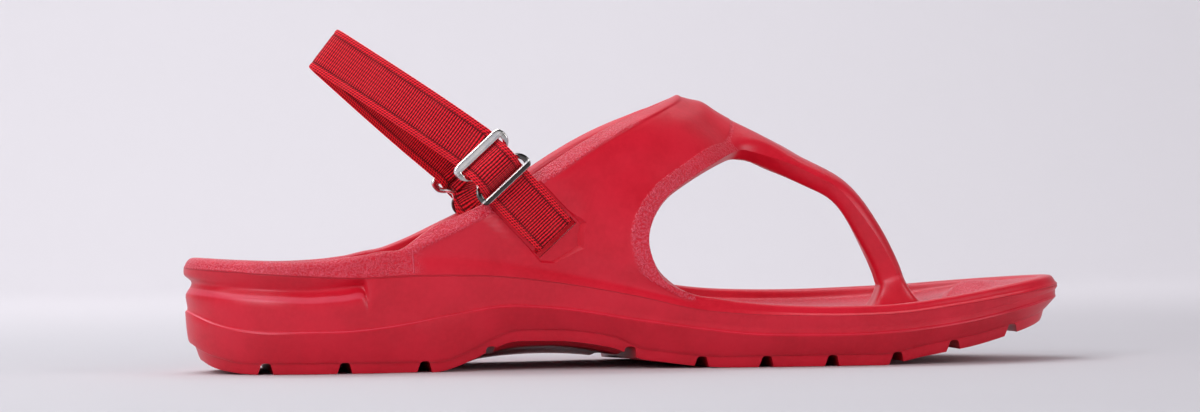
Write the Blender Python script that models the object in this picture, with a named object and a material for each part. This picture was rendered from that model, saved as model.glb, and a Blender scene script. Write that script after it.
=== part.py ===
"""Left running sandal: a one-piece moulded foam body with an elastic heel strap.

The body is one mould filling: thick sole, footbed with a raised rim, two wings that
join over the instep, and a toe strap that runs down between the first two toes.
The heel strap is one length of flat webbing. Each end hooks on the middle bar of a
slide buckle, runs down inside the wing, out through a slot, up the outside and back
through the buckle.

Frame: +X to the toe, +Y to the outer (lateral) side, +Z up, floor at z = 0.
The origin is the spot on the floor under the heel. The tables are in millimetres,
with x counted from the back of the heel.
"""
import math

import bmesh
import bpy
import numpy as np

MM = 0.001

# ---------------------------------------------------------------- driving sizes, mm
LENGTH = 280.0
HEEL_REST_X = 36.0        # from the back of the heel to the origin
WALL = 5.6                # thickness of the wings
WALL_TOP = 3.0            # extra thickness where the wings meet over the instep
KNEE = 1.0                # step of the instep's crown above the toe strap
OUTER_DROP = 2.4          # how much lower the collar runs on the outer side
FACET_BACK = 5.0          # width of the sloped lip along the collar
FACET_FRONT = 5.0         # width of the sloped lip around the side windows
LIP_DROP = 2.0            # how far that lip falls from the wing's outer face

STRAP_WIDTH = 15.2        # of the heel strap
STRAP_THICK = 1.5
GAP = 0.32                # clearance between pieces

# Plan outline at the parting line: x, inner (medial) y, outer (lateral) y.
OUTLINE = (
    (3.8, -12.0, 12.0),
    (11.0, -22.4, 22.2),
    (23.6, -31.2, 30.6),
    (45.0, -35.6, 35.2),
    (70.0, -35.2, 37.6),
    (95.0, -34.2, 40.4),
    (115.0, -34.6, 42.8),
    (140.0, -37.6, 46.6),
    (165.0, -42.0, 50.6),
    (187.0, -45.2, 52.2),
    (207.0, -46.2, 49.8),
    (225.0, -45.0, 44.8),
    (242.0, -41.4, 37.2),
    (257.0, -35.4, 27.6),
    (269.0, -28.0, 15.4),
    (277.0, -20.0, 2.6),
)
HEEL_TIP = (1.3, 0.0)
TOE_TIP = (280.8, -9.5)

# Line under the foot from heel to second toe, where footbed and underside close.
SPINE = ((31.0, 0.0), (120.0, 1.5), (175.0, -6.0), (217.0, -13.0), (234.0, -13.6),
         (242.0, -12.5))

# Heights along the sole: x, parting line, wave ledge, inner rim, outer rim, footbed.
HEIGHTS = (
    (0.0, 32.8, 20.2, 36.0, 36.0, 27.8),
    (8.0, 32.2, 16.2, 35.5, 35.3, 27.4),
    (20.0, 31.3, 13.2, 35.0, 34.5, 26.8),
    (36.0, 30.2, 12.4, 34.8, 34.0, 26.4),
    (54.0, 29.4, 13.4, 36.4, 35.3, 26.6),
    (67.0, 29.8, 15.2, 38.4, 37.9, 27.0),
    (82.0, 29.8, 17.8, 38.8, 38.4, 27.2),
    (97.0, 29.2, 20.2, 37.0, 36.6, 26.8),
    (115.0, 27.0, 19.4, 33.2, 33.2, 25.2),
    (140.0, 22.4, 15.4, 27.2, 28.6, 21.6),
    (157.0, 18.4, 12.8, 22.8, 25.2, 19.2),
    (176.0, 16.5, 10.6, 19.9, 22.6, 17.4),
    (190.0, 16.0, 10.2, 18.9, 21.9, 16.8),
    (207.0, 15.8, 10.2, 18.6, 21.8, 16.6),
    (222.0, 16.3, 11.0, 19.1, 22.3, 17.0),
    (240.0, 18.3, 13.0, 21.2, 23.2, 18.8),
    (257.0, 20.5, 15.8, 23.5, 24.6, 21.2),
    (270.0, 22.2, 18.4, 25.3, 25.7, 23.4),
    (280.0, 23.6, 20.4, 26.6, 26.6, 25.0),
)

# Curve of the underside seen from the side: bevelled heel, flat, toe spring.
ROCKER = ((0.0, 7.2), (5.6, 4.4), (9.0, 2.2), (14.0, 0.8), (20.0, 0.0), (38.0, 0.0),
          (120.0, 0.0), (217.0, 0.0), (221.0, 0.6), (226.0, 1.7), (236.0, 3.4),
          (250.0, 5.8), (261.0, 8.5), (270.0, 11.0), (280.0, 14.6))

# Lift of the arch: x, inner edge, middle, outer edge.
ARCH = (
    (60.0, 0.0, 0.0, 0.0),
    (78.0, 0.0, 0.0, 0.0),
    (85.0, 2.0, 1.0, 0.1),
    (92.5, 5.4, 2.8, 0.5),
    (98.0, 8.0, 4.6, 1.2),
    (111.0, 9.0, 6.2, 2.3),
    (127.0, 7.6, 5.2, 2.2),
    (134.0, 6.0, 3.8, 1.6),
    (140.5, 3.1, 2.2, 0.8),
    (147.0, 2.1, 1.2, 0.2),
    (158.0, 0.6, 0.3, 0.0),
    (166.0, 0.0, 0.0, 0.0),
    (190.0, 0.0, 0.0, 0.0),
)

# Ribs of the inner wing, rim to crown: collar edge x, y, z, window edge x, y, z, crown
# of the face between them. The outer wing mirrors them.
RIBS = (
    (75.5, -33.8, 44.0, 148.5, -38.4, 26.4, 0.2),
    (85.5, -33.2, 48.9, 144.6, -37.8, 32.6, 0.4),
    (97.0, -32.4, 54.6, 143.0, -37.0, 40.2, 0.6),
    (109.5, -31.0, 62.3, 145.2, -35.9, 47.8, 0.8),
    (122.0, -28.2, 70.4, 150.0, -33.8, 54.0, 1.0),
    (134.0, -23.4, 76.9, 156.6, -30.4, 58.4, 1.2),
    (144.2, -17.0, 81.2, 163.4, -25.6, 62.2, 1.3),
    (151.6, -10.6, 84.0, 170.4, -19.4, 65.6, 1.3),
    (156.0, -5.2, 85.7, 176.8, -12.2, 68.0, 1.0),
    (157.4, 0.0, 86.2, 180.4, 0.0, 75.6, 0.8),
)

# Toe strap: x and z of its top line, y of its middle, half width, thickness.
TOE_STRAP = (
    (187.4, 71.6, -1.6, 9.6, 10.2),
    (196.4, 66.4, -4.8, 8.1, 7.9),
    (203.8, 62.3, -8.0, 7.1, 7.6),
    (210.2, 58.2, -10.4, 6.6, 7.3),
    (215.6, 52.6, -12.0, 6.3, 7.6),
    (220.0, 46.0, -13.0, 6.0, 8.2),
    (223.8, 39.2, -13.5, 5.8, 8.5),
    (227.0, 32.2, -13.6, 5.9, 8.6),
    (229.6, 25.2, -13.6, 6.6, 9.0),
)

# Transverse grooves of the tread: x, width at the ground, width at the top, height.
GROOVES = (
    (24.8, 5.2, 2.4, 3.5),
    (48.8, 5.2, 2.4, 3.5),
    (73.6, 5.2, 2.4, 3.5),
    (94.6, 4.6, 3.6, 7.6),
    (137.6, 5.0, 3.4, 6.9),
    (159.5, 4.8, 2.4, 3.6),
    (179.4, 4.8, 2.4, 3.5),
    (199.9, 4.8, 2.4, 3.5),
    (220.7, 4.8, 2.4, 3.5),
    (239.8, 4.8, 2.4, 3.3),
    (261.0, 4.8, 2.4, 3.2),
)
GROOVE_REACH = 70.0
GROOVE_BELOW = 4.0

# Station counts between the marked places along the sole.
HEEL_ARC, TOE_ARC = 8, 8
MARKS = ((31.0, 67.0, 7), (67.0, 157.0, 16), (157.0, 217.0, 11), (217.0, 234.0, 3),
         (234.0, 242.0, 1))
WING_FROM, WING_TO = HEEL_ARC + 7, HEEL_ARC + 23
POST_FROM, POST_TO = HEEL_ARC + 34, HEEL_ARC + 37
POST_HALF = 7.4           # half width of the toe strap's foot on the footbed

# Seats of the heel strap, inner wing then outer wing: place of the slot on the wing's
# outer face, how fast that face's y changes along x and along z, and how far up the strap
# the buckle's middle bar sits.
SEATS = ((114.8, -33.45, 41.0, -0.021, 0.022, 29.8), (115.9, 41.9, 37.65, 0.104, -0.131, 29.8))
STRAP_LEAN = math.radians(42.4)     # of the strap from upright, seen from the side
POCKET_DEPTH = 0.9
SLOT_FROM, SLOT_TO = -0.9, 2.1      # along the strap
SLOT_HALF = 8.2
WALL_AT_SLOT = 3.7        # between the outer and the inner seat
STRAP_IN_SLOT = 1.0       # the strap's middle inside the slot
TURN = 1.15               # radius of the strap's middle around the slot's edges

# Outline of the outer pocket around the strap: across, along.
POCKET = ((-8.6, 40.0), (-8.6, -1.9), (-5.8, -4.8), (3.2, -6.4), (5.5, -4.0), (8.6, -2.1),
          (8.6, 40.0))
INNER_POCKET = ((-8.5, 40.0), (-8.5, -2.6), (8.5, -2.6), (8.5, 40.0))

# Buckle, from its middle bar: the frame's centre line (across, along, depth) and its
# section (width in the frame's plane, thickness), from the flat bar to the lower bar.
BUCKLE_RISE = 3.3         # of the buckle's plane over the outer seat
FRAME = (
    (0.0, 6.55, 0.0, 2.9, 1.2),
    (7.3, 6.55, 0.0, 2.9, 1.2),
    (8.7, 6.35, 0.0, 2.4, 1.25),
    (9.15, 5.4, 0.0, 1.7, 1.3),
    (9.15, 3.6, 0.0, 1.4, 1.3),
    (8.7, 2.3, -0.4, 1.3, 1.3),
    (7.5, 1.0, -0.95, 1.3, 1.3),
    (7.05, 0.0, -1.15, 1.3, 1.3),
    (7.5, -1.0, -0.95, 1.3, 1.3),
    (8.7, -2.3, -0.4, 1.3, 1.3),
    (9.15, -3.8, 0.0, 1.4, 1.35),
    (9.1, -5.7, 0.0, 1.7, 1.5),
    (8.4, -6.6, 0.0, 1.9, 1.7),
    (7.2, -6.8, 0.0, 2.1, 1.8),
    (0.0, -6.8, 0.0, 2.1, 1.8),
)
MIDDLE_BAR_RADIUS = 1.0
MIDDLE_BAR_DROP = 1.15    # below the frame's plane
END_HALF = 5.95           # half width of the strap's end, squeezed between the rails

# The strap behind the heel: middle of its fold, then share of the way from the buckle to
# the fold, and share of the buckle's sideways place that is left there.
FOLD = (46.4, 0.8, 101.1)
LOOP = ((0.0, 1.0), (0.04, 0.99), (0.10, 0.965), (0.22, 0.90), (0.36, 0.79), (0.50, 0.655), (0.63, 0.51),
        (0.75, 0.365), (0.85, 0.24), (0.925, 0.145), (0.97, 0.08), (1.0, 0.0))
LOOP_ACROSS = (0.614, 0.0, 0.789)   # direction across the strap behind the heel
LOOP_STEP = 3.6           # between sections there


# ---------------------------------------------------------------- helpers
def smooth(x, knots, values):
    """Cubic curve through the knots; tangents are the local slopes of the table."""
    knots, values = np.asarray(knots, float), np.asarray(values, float)
    x = np.clip(np.asarray(x, float), knots[0], knots[-1])
    slopes = np.gradient(values, knots)
    i = np.clip(np.searchsorted(knots, x) - 1, 0, len(knots) - 2)
    h = knots[i + 1] - knots[i]
    t = (x - knots[i]) / h
    return ((2 * t**3 - 3 * t**2 + 1) * values[i] + (t**3 - 2 * t**2 + t) * h * slopes[i]
            + (3 * t**2 - 2 * t**3) * values[i + 1] + (t**3 - t**2) * h * slopes[i + 1])


def column(table, x, index):
    """One column of a table, read at x."""
    return smooth(x, [row[0] for row in table], [row[index] for row in table])


def rocker(x):
    """Height of the underside over the floor, flat from the heel's bevel to the toe spring."""
    return np.maximum(column(ROCKER, x, 1), 0.0)


def closed_curve(points, steps=40):
    """Closed Catmull-Rom curve through the points, spaced by chord length."""
    p = np.asarray(points, float)
    before, after, later = np.roll(p, 1, 0), np.roll(p, -1, 0), np.roll(p, -2, 0)
    d0 = np.linalg.norm(p - before, axis=1)[:, None]
    d1 = np.linalg.norm(after - p, axis=1)[:, None]
    d2 = np.linalg.norm(later - after, axis=1)[:, None]
    m0 = d1 * ((p - before) / d0 * d1 + (after - p) / d1 * d0) / (d0 + d1)
    m1 = d1 * ((after - p) / d1 * d2 + (later - after) / d2 * d1) / (d1 + d2)
    t = (np.arange(steps) / steps)[None, :, None]
    p, after, m0, m1 = (a[:, None, :] for a in (p, after, m0, m1))
    curve = ((2 * t**3 - 3 * t**2 + 1) * p + (t**3 - 2 * t**2 + t) * m0
             + (3 * t**2 - 2 * t**3) * after + (t**3 - t**2) * m1)
    return curve.reshape(-1, 2)


def mesh_object(name, verts, faces, material=None):
    """A mesh in metres, in the object's frame, with its faces turned outwards."""
    verts = (np.asarray(verts, float) - (HEEL_REST_X, 0.0, 0.0)) * MM
    mesh = bpy.data.meshes.new(name)
    mesh.from_pydata(verts.tolist(), [], [list(map(int, f)) for f in faces])
    bm = bmesh.new()
    bm.from_mesh(mesh)
    bmesh.ops.recalc_face_normals(bm, faces=bm.faces)
    bm.to_mesh(mesh)
    bm.free()
    obj = bpy.data.objects.new(name, mesh)
    bpy.context.scene.collection.objects.link(obj)
    if material:
        mesh.materials.append(material)
    return obj


def finish_material(name, colour, roughness, metallic=0.0):
    """A plain Principled finish."""
    material = bpy.data.materials.new(name)
    material.use_nodes = True
    shader = material.node_tree.nodes["Principled BSDF"]
    shader.inputs["Base Color"].default_value = (*colour, 1.0)
    shader.inputs["Roughness"].default_value = roughness
    shader.inputs["Metallic"].default_value = metallic
    material.diffuse_color = (*colour, 1.0)
    return material


def boolean(obj, tool, operation):
    """Cut or join with a tool that is hidden from the build."""
    tool.hide_render = True
    tool.display_type = "WIRE"
    modifier = obj.modifiers.new(tool.name, "BOOLEAN")
    modifier.operation = operation
    modifier.solver = "EXACT"
    modifier.object = tool


def prism(outline, low, high):
    """Verts and faces of a prism: the outline at two places."""
    n = len(outline)
    verts = [tuple(low + np.asarray(p)) for p in outline]
    verts += [tuple(high + np.asarray(p)) for p in outline]
    faces = [list(range(n)), list(range(n, 2 * n))]
    faces += [[i, (i + 1) % n, n + (i + 1) % n, n + i] for i in range(n)]
    return verts, faces


# ---------------------------------------------------------------- the sole's surface
def stations():
    """Spine point and the two edge points of each station, heel to toe."""
    rows = [HEEL_TIP] + [(x, m) for x, m, _ in OUTLINE] + [TOE_TIP]
    rows += [(x, l) for x, _, l in reversed(OUTLINE)]
    curve = closed_curve(rows)
    half = (len(OUTLINE) + 1) * 40
    sides = (curve[:half + 1], np.vstack([curve[half:], curve[:1]])[::-1])
    spine_x = [p[0] for p in SPINE]
    spine_y = [p[1] for p in SPINE]

    def by_angle(side, centre, angles):
        line = sides[side]
        sign = (-1.0, 1.0)[side]
        around = np.arctan2(sign * (line[:, 1] - centre[1]), line[:, 0] - centre[0])
        order = np.argsort(around)
        return np.stack([np.interp(angles, around[order], line[order, k]) for k in (0, 1)], -1)

    middle = [MARKS[0][0]]
    for start, end, count in MARKS:
        middle += list(np.linspace(start, end, count + 1)[1:])
    middle = np.array(middle)
    heel, toe = np.array(SPINE[0]), np.array(SPINE[-1])
    centre_line = np.stack([middle, smooth(middle, spine_x, spine_y)], -1)
    spine = np.vstack([np.tile(heel, (HEEL_ARC, 1)), centre_line,
                       np.tile(toe, (TOE_ARC, 1))])
    edges = []
    for side in (0, 1):
        line = sides[side]
        back = by_angle(side, heel, np.linspace(math.pi, math.pi / 2, HEEL_ARC + 1)[:-1])
        front = by_angle(side, toe, np.linspace(math.pi / 2, 0.0, TOE_ARC + 1)[1:])
        along = np.stack([middle, np.interp(middle, line[:, 0], line[:, 1])], -1)
        edges.append(np.vstack([back, along, front]))
    edges[1][0], edges[1][-1] = edges[0][0], edges[0][-1]
    return spine, np.array(edges)


def sole_rows():
    """Rows of the sole's surface, underside spine over the rim to the footbed spine.

    Each row is an array [side, station, xyz]. A row keeps a distance from the plan
    outline towards the spine, and a height from the tables.
    """
    spine, edges = stations()
    reach = np.linalg.norm(edges - spine, axis=2)
    inward = (spine - edges) / reach[..., None]
    x = edges[..., 0]
    side = np.array([[0], [1]])
    part, wave, bed = (column(HEIGHTS, x, k) for k in (1, 2, 5))
    rim = np.where(side == 0, column(HEIGHTS, x, 3), column(HEIGHTS, x, 4))
    part = part + 0.45 * (rim - column(HEIGHTS, x, 3))
    heel = np.clip(1.0 - x / 14.0, 0.0, 1.0)          # 1 at the very back of the heel
    back = np.clip((56.0 - x) / 3.0, 0.0, 1.0)        # where the heel's groove runs

    def at(inset, height):
        plan = edges + inward * np.broadcast_to(inset, reach.shape)[..., None]
        return np.concatenate([plan, np.broadcast_to(height, reach.shape)[..., None]], 2)

    def under(inset, share):
        row = at(inset, 0.0)
        lift = np.where(side == 0, column(ARCH, x, 1), column(ARCH, x, 3))
        middle = column(ARCH, x, 2)
        row[..., 2] = rocker(row[..., 0]) + np.maximum(
            share * lift + (1 - share) * middle, 0.0)
        return row

    rows = [under(reach, 0.0), under(0.5 * reach, 0.3), under(13.0, 0.8), under(6.0, 1.0)]
    edge = rows[-1][..., 2]
    lug = edge + 3.3 + 1.4 * heel
    rows.append(at(4.8 - 1.2 * heel, lug))
    rows.append(at(3.9 - 3.0 * heel, lug + 0.9 + 0.8 * heel))
    rows.append(at(0.8, wave - 1.0))
    rows.append(at(1.7, wave + 0.1))
    rows.append(at(1.5 - 0.7 * back, wave + 1.4))
    groove = np.interp(x, (0.0, 20.0, 56.0), (28.3, 26.9, 25.6))
    for step, (drop, cut) in enumerate(((-2.5, 0.7), (-0.2, 2.6), (1.9, 0.6)), 1):
        share = step / 4.0
        plain = (1 - share) * (wave + 1.4) + share * part
        height = back * (groove + drop) + (1 - back) * plain
        rows.append(at(back * cut + (1 - back) * 1.5 * (1 - share), height))
    rows.append(at(0.0, part))
    rows.append(at(0.7, 0.5 * (part + rim - 1.8)))
    rows.append(at(1.3, rim - 1.8))
    rows.append(at(2.6, rim))
    rows.append(at(6.4, rim - 0.3))
    rows.append(at(7.8, rim - np.minimum(2.4, 0.55 * (rim - bed))))
    rows.append(at(13.0, bed + 0.22 * (rim - bed)))
    rows.append(at(0.5 * (13.0 + reach - POST_HALF), bed + 0.04 * (rim - bed)))
    rows.append(at(reach - POST_HALF, bed))
    rows.append(at(reach, bed))
    return rows


FACET_ROW = 14            # start of the lip's slope; the two lip corners follow it
INNER_ROW = 17            # the wall's inner face


# ---------------------------------------------------------------- wings and toe strap
def wing_ribs(rows):
    """Outer face, lip corners and inner face of each rib between the two rims."""
    base = [row[:, WING_FROM:WING_TO + 1] for row in (rows[FACET_ROW], rows[INNER_ROW])]
    count = WING_TO - WING_FROM + 1
    step = np.linspace(0.0, 1.0, count)[:, None]
    ribs = len(RIBS)
    total = 2 * ribs - 1
    faces = np.zeros((total + 2, count, 3))
    inner = np.zeros_like(faces)
    ends = np.zeros((total + 2, 2, 3))
    faces[0], faces[-1] = base[0]
    inner[0], inner[-1] = base[1]
    bow = faces[[0, -1]] - ((1 - step) * faces[[0, -1]][:, :1] + step * faces[[0, -1]][:, -1:])
    outline_gain = np.array(OUTLINE)
    gain_x, gain_y = outline_gain[:, 0], outline_gain[:, 1] + outline_gain[:, 2]
    specs = []
    for place in range(total):
        rank = place if place < ribs else total - 1 - place
        lateral = place >= ribs
        xb, yb, zb, xf, yf, zf, crown = RIBS[rank]
        up = (rank + 1) / ribs
        points = np.array([[xb, yb, zb], [xf, yf, zf]])
        if lateral:
            wider = np.interp(points[:, 0], gain_x, gain_y) * (1 - up**1.5)
            points[:, 1] = -points[:, 1] + wider
            higher = column(HEIGHTS, points[:, 0], 4) - column(HEIGHTS, points[:, 0], 3)
            points[:, 2] += higher * (1 - up)
            points[0, 2] -= OUTER_DROP * (1 - up**2)
        length = np.linalg.norm(points[1] - points[0])
        specs.append((points, length, crown, up, int(lateral)))

    def on_rib(spec, w):
        points, _, crown, up, lateral = spec
        out = np.array([0.0, (-1.0, 1.0)[lateral] * (1 - up**2), 0.25 + up])
        out /= np.linalg.norm(out)
        fade = max(0.0, 1 - 1.6 * up)
        bulge = crown * 4 * w * (1 - w) + KNEE * up**6 * np.exp(-((w - 0.42) / 0.16)**2)
        return (1 - w) * points[0] + w * points[1] + bulge * out + fade * bow[lateral]

    for place, spec in enumerate(specs, 1):
        points, length, _, up, _ = spec
        start, end = FACET_BACK / length, FACET_FRONT / length
        faces[place] = on_rib(spec, start + (1 - start - end) * step)
        ends[place] = points
    across = np.gradient(faces, axis=0)
    along = np.gradient(faces, axis=1)
    normal = np.cross(along, across)
    normal /= np.linalg.norm(normal, axis=2)[..., None]
    middle = faces.mean(axis=1).mean(axis=0)
    middle[2] = 40.0
    outward = np.sign(((faces - middle) * normal).sum())
    normal *= outward
    for place, spec in enumerate(specs, 1):
        length, up = spec[1], spec[3]
        wall = WALL + WALL_TOP * up**3 * (1 - step)
        pull = 1.6 / length
        inner[place] = on_rib(spec, pull + (1 - 2 * pull) * step) - wall * normal[place]
    corners = np.zeros((total + 2, 4, 3))
    for place, spec in enumerate(specs, 1):
        wall = WALL + WALL_TOP * spec[3]**3
        back, front = ends[place]
        nb, nf = normal[place, 0], normal[place, -1]
        corners[place] = (back - LIP_DROP * nb, back - (wall - 1.3) * nb,
                          front - LIP_DROP * nf, front - (WALL - 1.3) * nf)
    return faces, inner, corners


def strap_rings():
    """Rings of the toe strap, ten corners each, from the instep down to its foot.

    Order: front face inner side, middle, outer side, down the outer side, back face
    outer to inner side, up the inner side.
    """
    table = np.array(TOE_STRAP)
    line = table[:, (0, 2, 1)]
    tangent = np.gradient(np.vstack([[178.0, 0.0, 76.6], line, [231.0, -13.6, 17.0]]),
                          axis=0)[1:-1]
    tangent /= np.linalg.norm(tangent, axis=1)[:, None]
    rings = []
    for point, t, (half, thick) in zip(line, tangent, table[:, 3:]):
        side = np.cross((0.0, 0.0, 1.0), t)
        side /= np.linalg.norm(side)
        up = np.cross(t, side)
        profile = ((-0.72, 0.09), (0.0, 0.0), (0.72, 0.09), (1.02, 0.36), (1.0, 0.74),
                   (0.7, 0.98), (0.0, 1.0), (-0.7, 0.98), (-1.0, 0.74), (-1.02, 0.36))
        rings.append([point + side * half * s - up * thick * d for s, d in profile])
    return np.array(rings)


# ---------------------------------------------------------------- the moulded body
def build_body(material):
    """Sole, rim, wings and toe strap as one closed skin with shared points."""
    rows = sole_rows()
    verts, faces = [], []
    count = rows[0].shape[1]
    last = len(rows) - 1
    index = -np.ones((len(rows), 2, count), int)

    def add(point):
        verts.append(tuple(point))
        return len(verts) - 1

    spine_from, spine_to = HEEL_ARC, count - 1 - TOE_ARC
    for r, row in enumerate(rows):
        for j in range(count):
            if r in (0, last):
                if r == last and POST_FROM < j < POST_TO:
                    continue
                if spine_from <= j <= spine_to:
                    index[r, :, j] = add(row[0, j])
            elif j in (0, count - 1):
                index[r, :, j] = add(row[0, j])
            else:
                for side in (0, 1):
                    index[r, side, j] = add(row[side, j])
        if r in (0, last):
            index[r, :, :spine_from] = index[r, 0, spine_from]
            index[r, :, spine_to + 1:] = index[r, 0, spine_to]

    def face(*corners):
        ring = []
        for c in corners:
            if not ring or (c != ring[-1] and c != ring[0]):
                ring.append(int(c))
        faces.append(ring)

    for r in range(last):
        for j in range(count - 1):
            wing = FACET_ROW <= r < INNER_ROW and WING_FROM <= j < WING_TO
            post = r == last - 1 and POST_FROM <= j < POST_TO
            if wing or post:
                continue
            for side in (0, 1):
                a, b = index[r, side, j], index[r, side, j + 1]
                c, d = index[r + 1, side, j + 1], index[r + 1, side, j]
                face(*((a, b, c, d) if side == 0 else (d, c, b, a)))

    outer, inner, corners = wing_ribs(rows)
    total = len(outer)
    width = outer.shape[1]
    middle = total // 2
    rings = []
    for place in range(total):
        if place in (0, total - 1):
            side = 0 if place == 0 else 1
            span = slice(WING_FROM, WING_TO + 1)
            ring = (list(index[FACET_ROW, side, span])
                    + [index[FACET_ROW + 1, side, WING_TO], index[FACET_ROW + 2, side, WING_TO]]
                    + list(index[INNER_ROW, side, span][::-1])
                    + [index[FACET_ROW + 2, side, WING_FROM],
                       index[FACET_ROW + 1, side, WING_FROM]])
        else:
            ring = [add(p) for p in outer[place]]
            if place == middle:
                ring += [-1, -1]
            else:
                ring += [add(corners[place, 2]), add(corners[place, 3])]
            ring += [add(p) for p in inner[place][::-1]]
            ring += [add(corners[place, 1]), add(corners[place, 0])]
        rings.append(ring)
    for place in range(total - 1):
        for k in range(len(rings[0])):
            a, b = rings[place][k], rings[place][(k + 1) % len(rings[0])]
            c, d = rings[place + 1][(k + 1) % len(rings[0])], rings[place + 1][k]
            if min(a, b, c, d) < 0:
                continue
            face(a, b, c, d)

    left, centre, right = rings[middle - 1], rings[middle], rings[middle + 1]
    front = width - 1
    loop = [left[front], centre[front], right[front], right[front + 1], right[front + 2],
            right[front + 3], centre[front + 3], left[front + 3], left[front + 2],
            left[front + 1]]
    for ring in strap_rings():
        new = [add(p) for p in ring]
        for k in range(len(new)):
            face(loop[k], loop[(k + 1) % len(new)], new[(k + 1) % len(new)], new[k])
        loop = new
    near = last - 1
    foot = [index[near, 0, POST_TO], index[last, 0, POST_TO], index[near, 1, POST_TO],
            index[near, 1, POST_TO - 1], index[near, 1, POST_FROM + 1],
            index[near, 1, POST_FROM], index[last, 0, POST_FROM], index[near, 0, POST_FROM],
            index[near, 0, POST_FROM + 1], index[near, 0, POST_TO - 1]]
    for k in range(len(foot)):
        face(loop[k], loop[(k + 1) % len(foot)], foot[(k + 1) % len(foot)], foot[k])
    return mesh_object("moulded_body", verts, faces, material)


def add_body_cuts(body):
    """Tread grooves, and the strap's pockets and slots through both wings."""
    verts, faces = [], []

    def add_prism(outline, low, high):
        start = len(verts)
        new_verts, new_faces = prism(outline, np.asarray(low), np.asarray(high))
        verts.extend(new_verts)
        faces.extend([[start + k for k in f] for f in new_faces])

    for x, ground, top, height in GROOVES:
        floor = float(rocker(x))
        spread = 0.5 * (ground - top) * (GROOVE_BELOW / height)
        outline = [(x - ground / 2 - spread, 0.0, floor - GROOVE_BELOW),
                   (x + ground / 2 + spread, 0.0, floor - GROOVE_BELOW),
                   (x + top / 2, 0.0, floor + height), (x - top / 2, 0.0, floor + height)]
        add_prism(outline, (0.0, -GROOVE_REACH, 0.0), (0.0, GROOVE_REACH, 0.0))
    boolean(body, mesh_object("tread_grooves", verts, faces), "DIFFERENCE")

    for name, floor, roof, outline in (
            ("outer_pockets", 0.0, 14.0, POCKET),
            ("inner_pockets", -14.0, -WALL_AT_SLOT, INNER_POCKET),
            ("slots", -7.0, 3.0, [(-SLOT_HALF, SLOT_FROM), (SLOT_HALF, SLOT_FROM),
                                  (SLOT_HALF, SLOT_TO), (-SLOT_HALF, SLOT_TO)])):
        verts, faces = [], []
        for seat in (0, 1):
            place = seat_frame(seat)
            flat = [place(w, u, 0.0) for w, u in outline]
            out = place(0.0, 0.0, 1.0) - place(0.0, 0.0, 0.0)
            add_prism(flat, floor * out, roof * out)
        boolean(body, mesh_object(name, verts, faces), "DIFFERENCE")


# ---------------------------------------------------------------- heel strap, buckles
def seat_frame(seat):
    """Place on a seat: across the strap (to the toe), along it (upwards), outwards."""
    x, y, z, slope_x, slope_z = SEATS[seat][:5]
    sign = (-1.0, 1.0)[seat]
    out = sign * np.array([-slope_x, 1.0, -slope_z])
    out /= np.linalg.norm(out)
    along_x, along_z = -math.sin(STRAP_LEAN), math.cos(STRAP_LEAN)
    along = np.array([along_x, slope_x * along_x + slope_z * along_z, along_z])
    along /= np.linalg.norm(along)
    across = np.cross(along, out)
    across *= np.sign(across[0])
    origin = np.array([x, y, z]) - POCKET_DEPTH * out

    def place(w, u, n):
        return origin + w * across + u * along + n * out

    return place


def arc(centre, radius, start, end, steps):
    """Points on an arc, degrees, ends included."""
    angles = np.radians(np.linspace(start, end, steps + 1))
    return [(centre[0] + radius * math.cos(a), centre[1] + radius * math.sin(a))
            for a in angles]


def strap_route(buckle_at):
    """The strap's middle line at a seat: along, outwards, half width. Inner end first."""
    half = STRAP_WIDTH / 2
    bar = (buckle_at, BUCKLE_RISE - MIDDLE_BAR_DROP)
    hook = MIDDLE_BAR_RADIUS + GAP + STRAP_THICK / 2
    over = hook + GAP + STRAP_THICK
    inner = -(WALL_AT_SLOT + GAP + STRAP_THICK / 2)
    outer = GAP + STRAP_THICK / 2
    route = [(u, n, END_HALF) for u, n in arc(bar, hook, 98.0, -112.0, 12)]
    route += [(bar[0] - 1.6, -0.7, END_HALF), (bar[0] - 2.4, -1.9, 6.5),
              (bar[0] - 3.2, -3.0, 6.9), (bar[0] - 4.1, -4.0, 7.2),
              (bar[0] - 5.2, inner + 0.2, 7.5), (bar[0] - 6.4, inner, half),
              (14.0, inner, half), (6.0, inner, half)]
    turn_in = (STRAP_IN_SLOT + TURN, inner + TURN)
    turn_out = (STRAP_IN_SLOT + TURN, outer - TURN)
    route += [(u, n, half) for u, n in arc(turn_in, TURN, -90.0, -180.0, 5)]
    route += [(u, n, half) for u, n in arc(turn_out, TURN, 180.0, 90.0, 5)]
    low = buckle_at + FRAME[-1][1]
    route += [(u, n, half) for u, n in (
        (7.0, outer), (14.0, outer), (low - 1.6, outer), (low, outer + 0.02),
        (low + 1.2, outer + 0.2), (low + 2.2, outer + 0.85), (low + 3.05, outer + 1.95),
        (low + 3.75, outer + 3.2))]
    route += [(u, n, half) for u, n in arc(bar, over, 124.0, 24.0, 8)]
    flat = (buckle_at + FRAME[0][1] - FRAME[0][3] / 2, BUCKLE_RISE - FRAME[0][4] / 2)
    route += [(u, n, half) for u, n in arc(flat, STRAP_THICK / 2 + GAP, 192.0, 270.0, 4)]
    route += [(flat[0] + 0.9, flat[1] - STRAP_THICK / 2 - GAP, half)]
    return route


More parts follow.
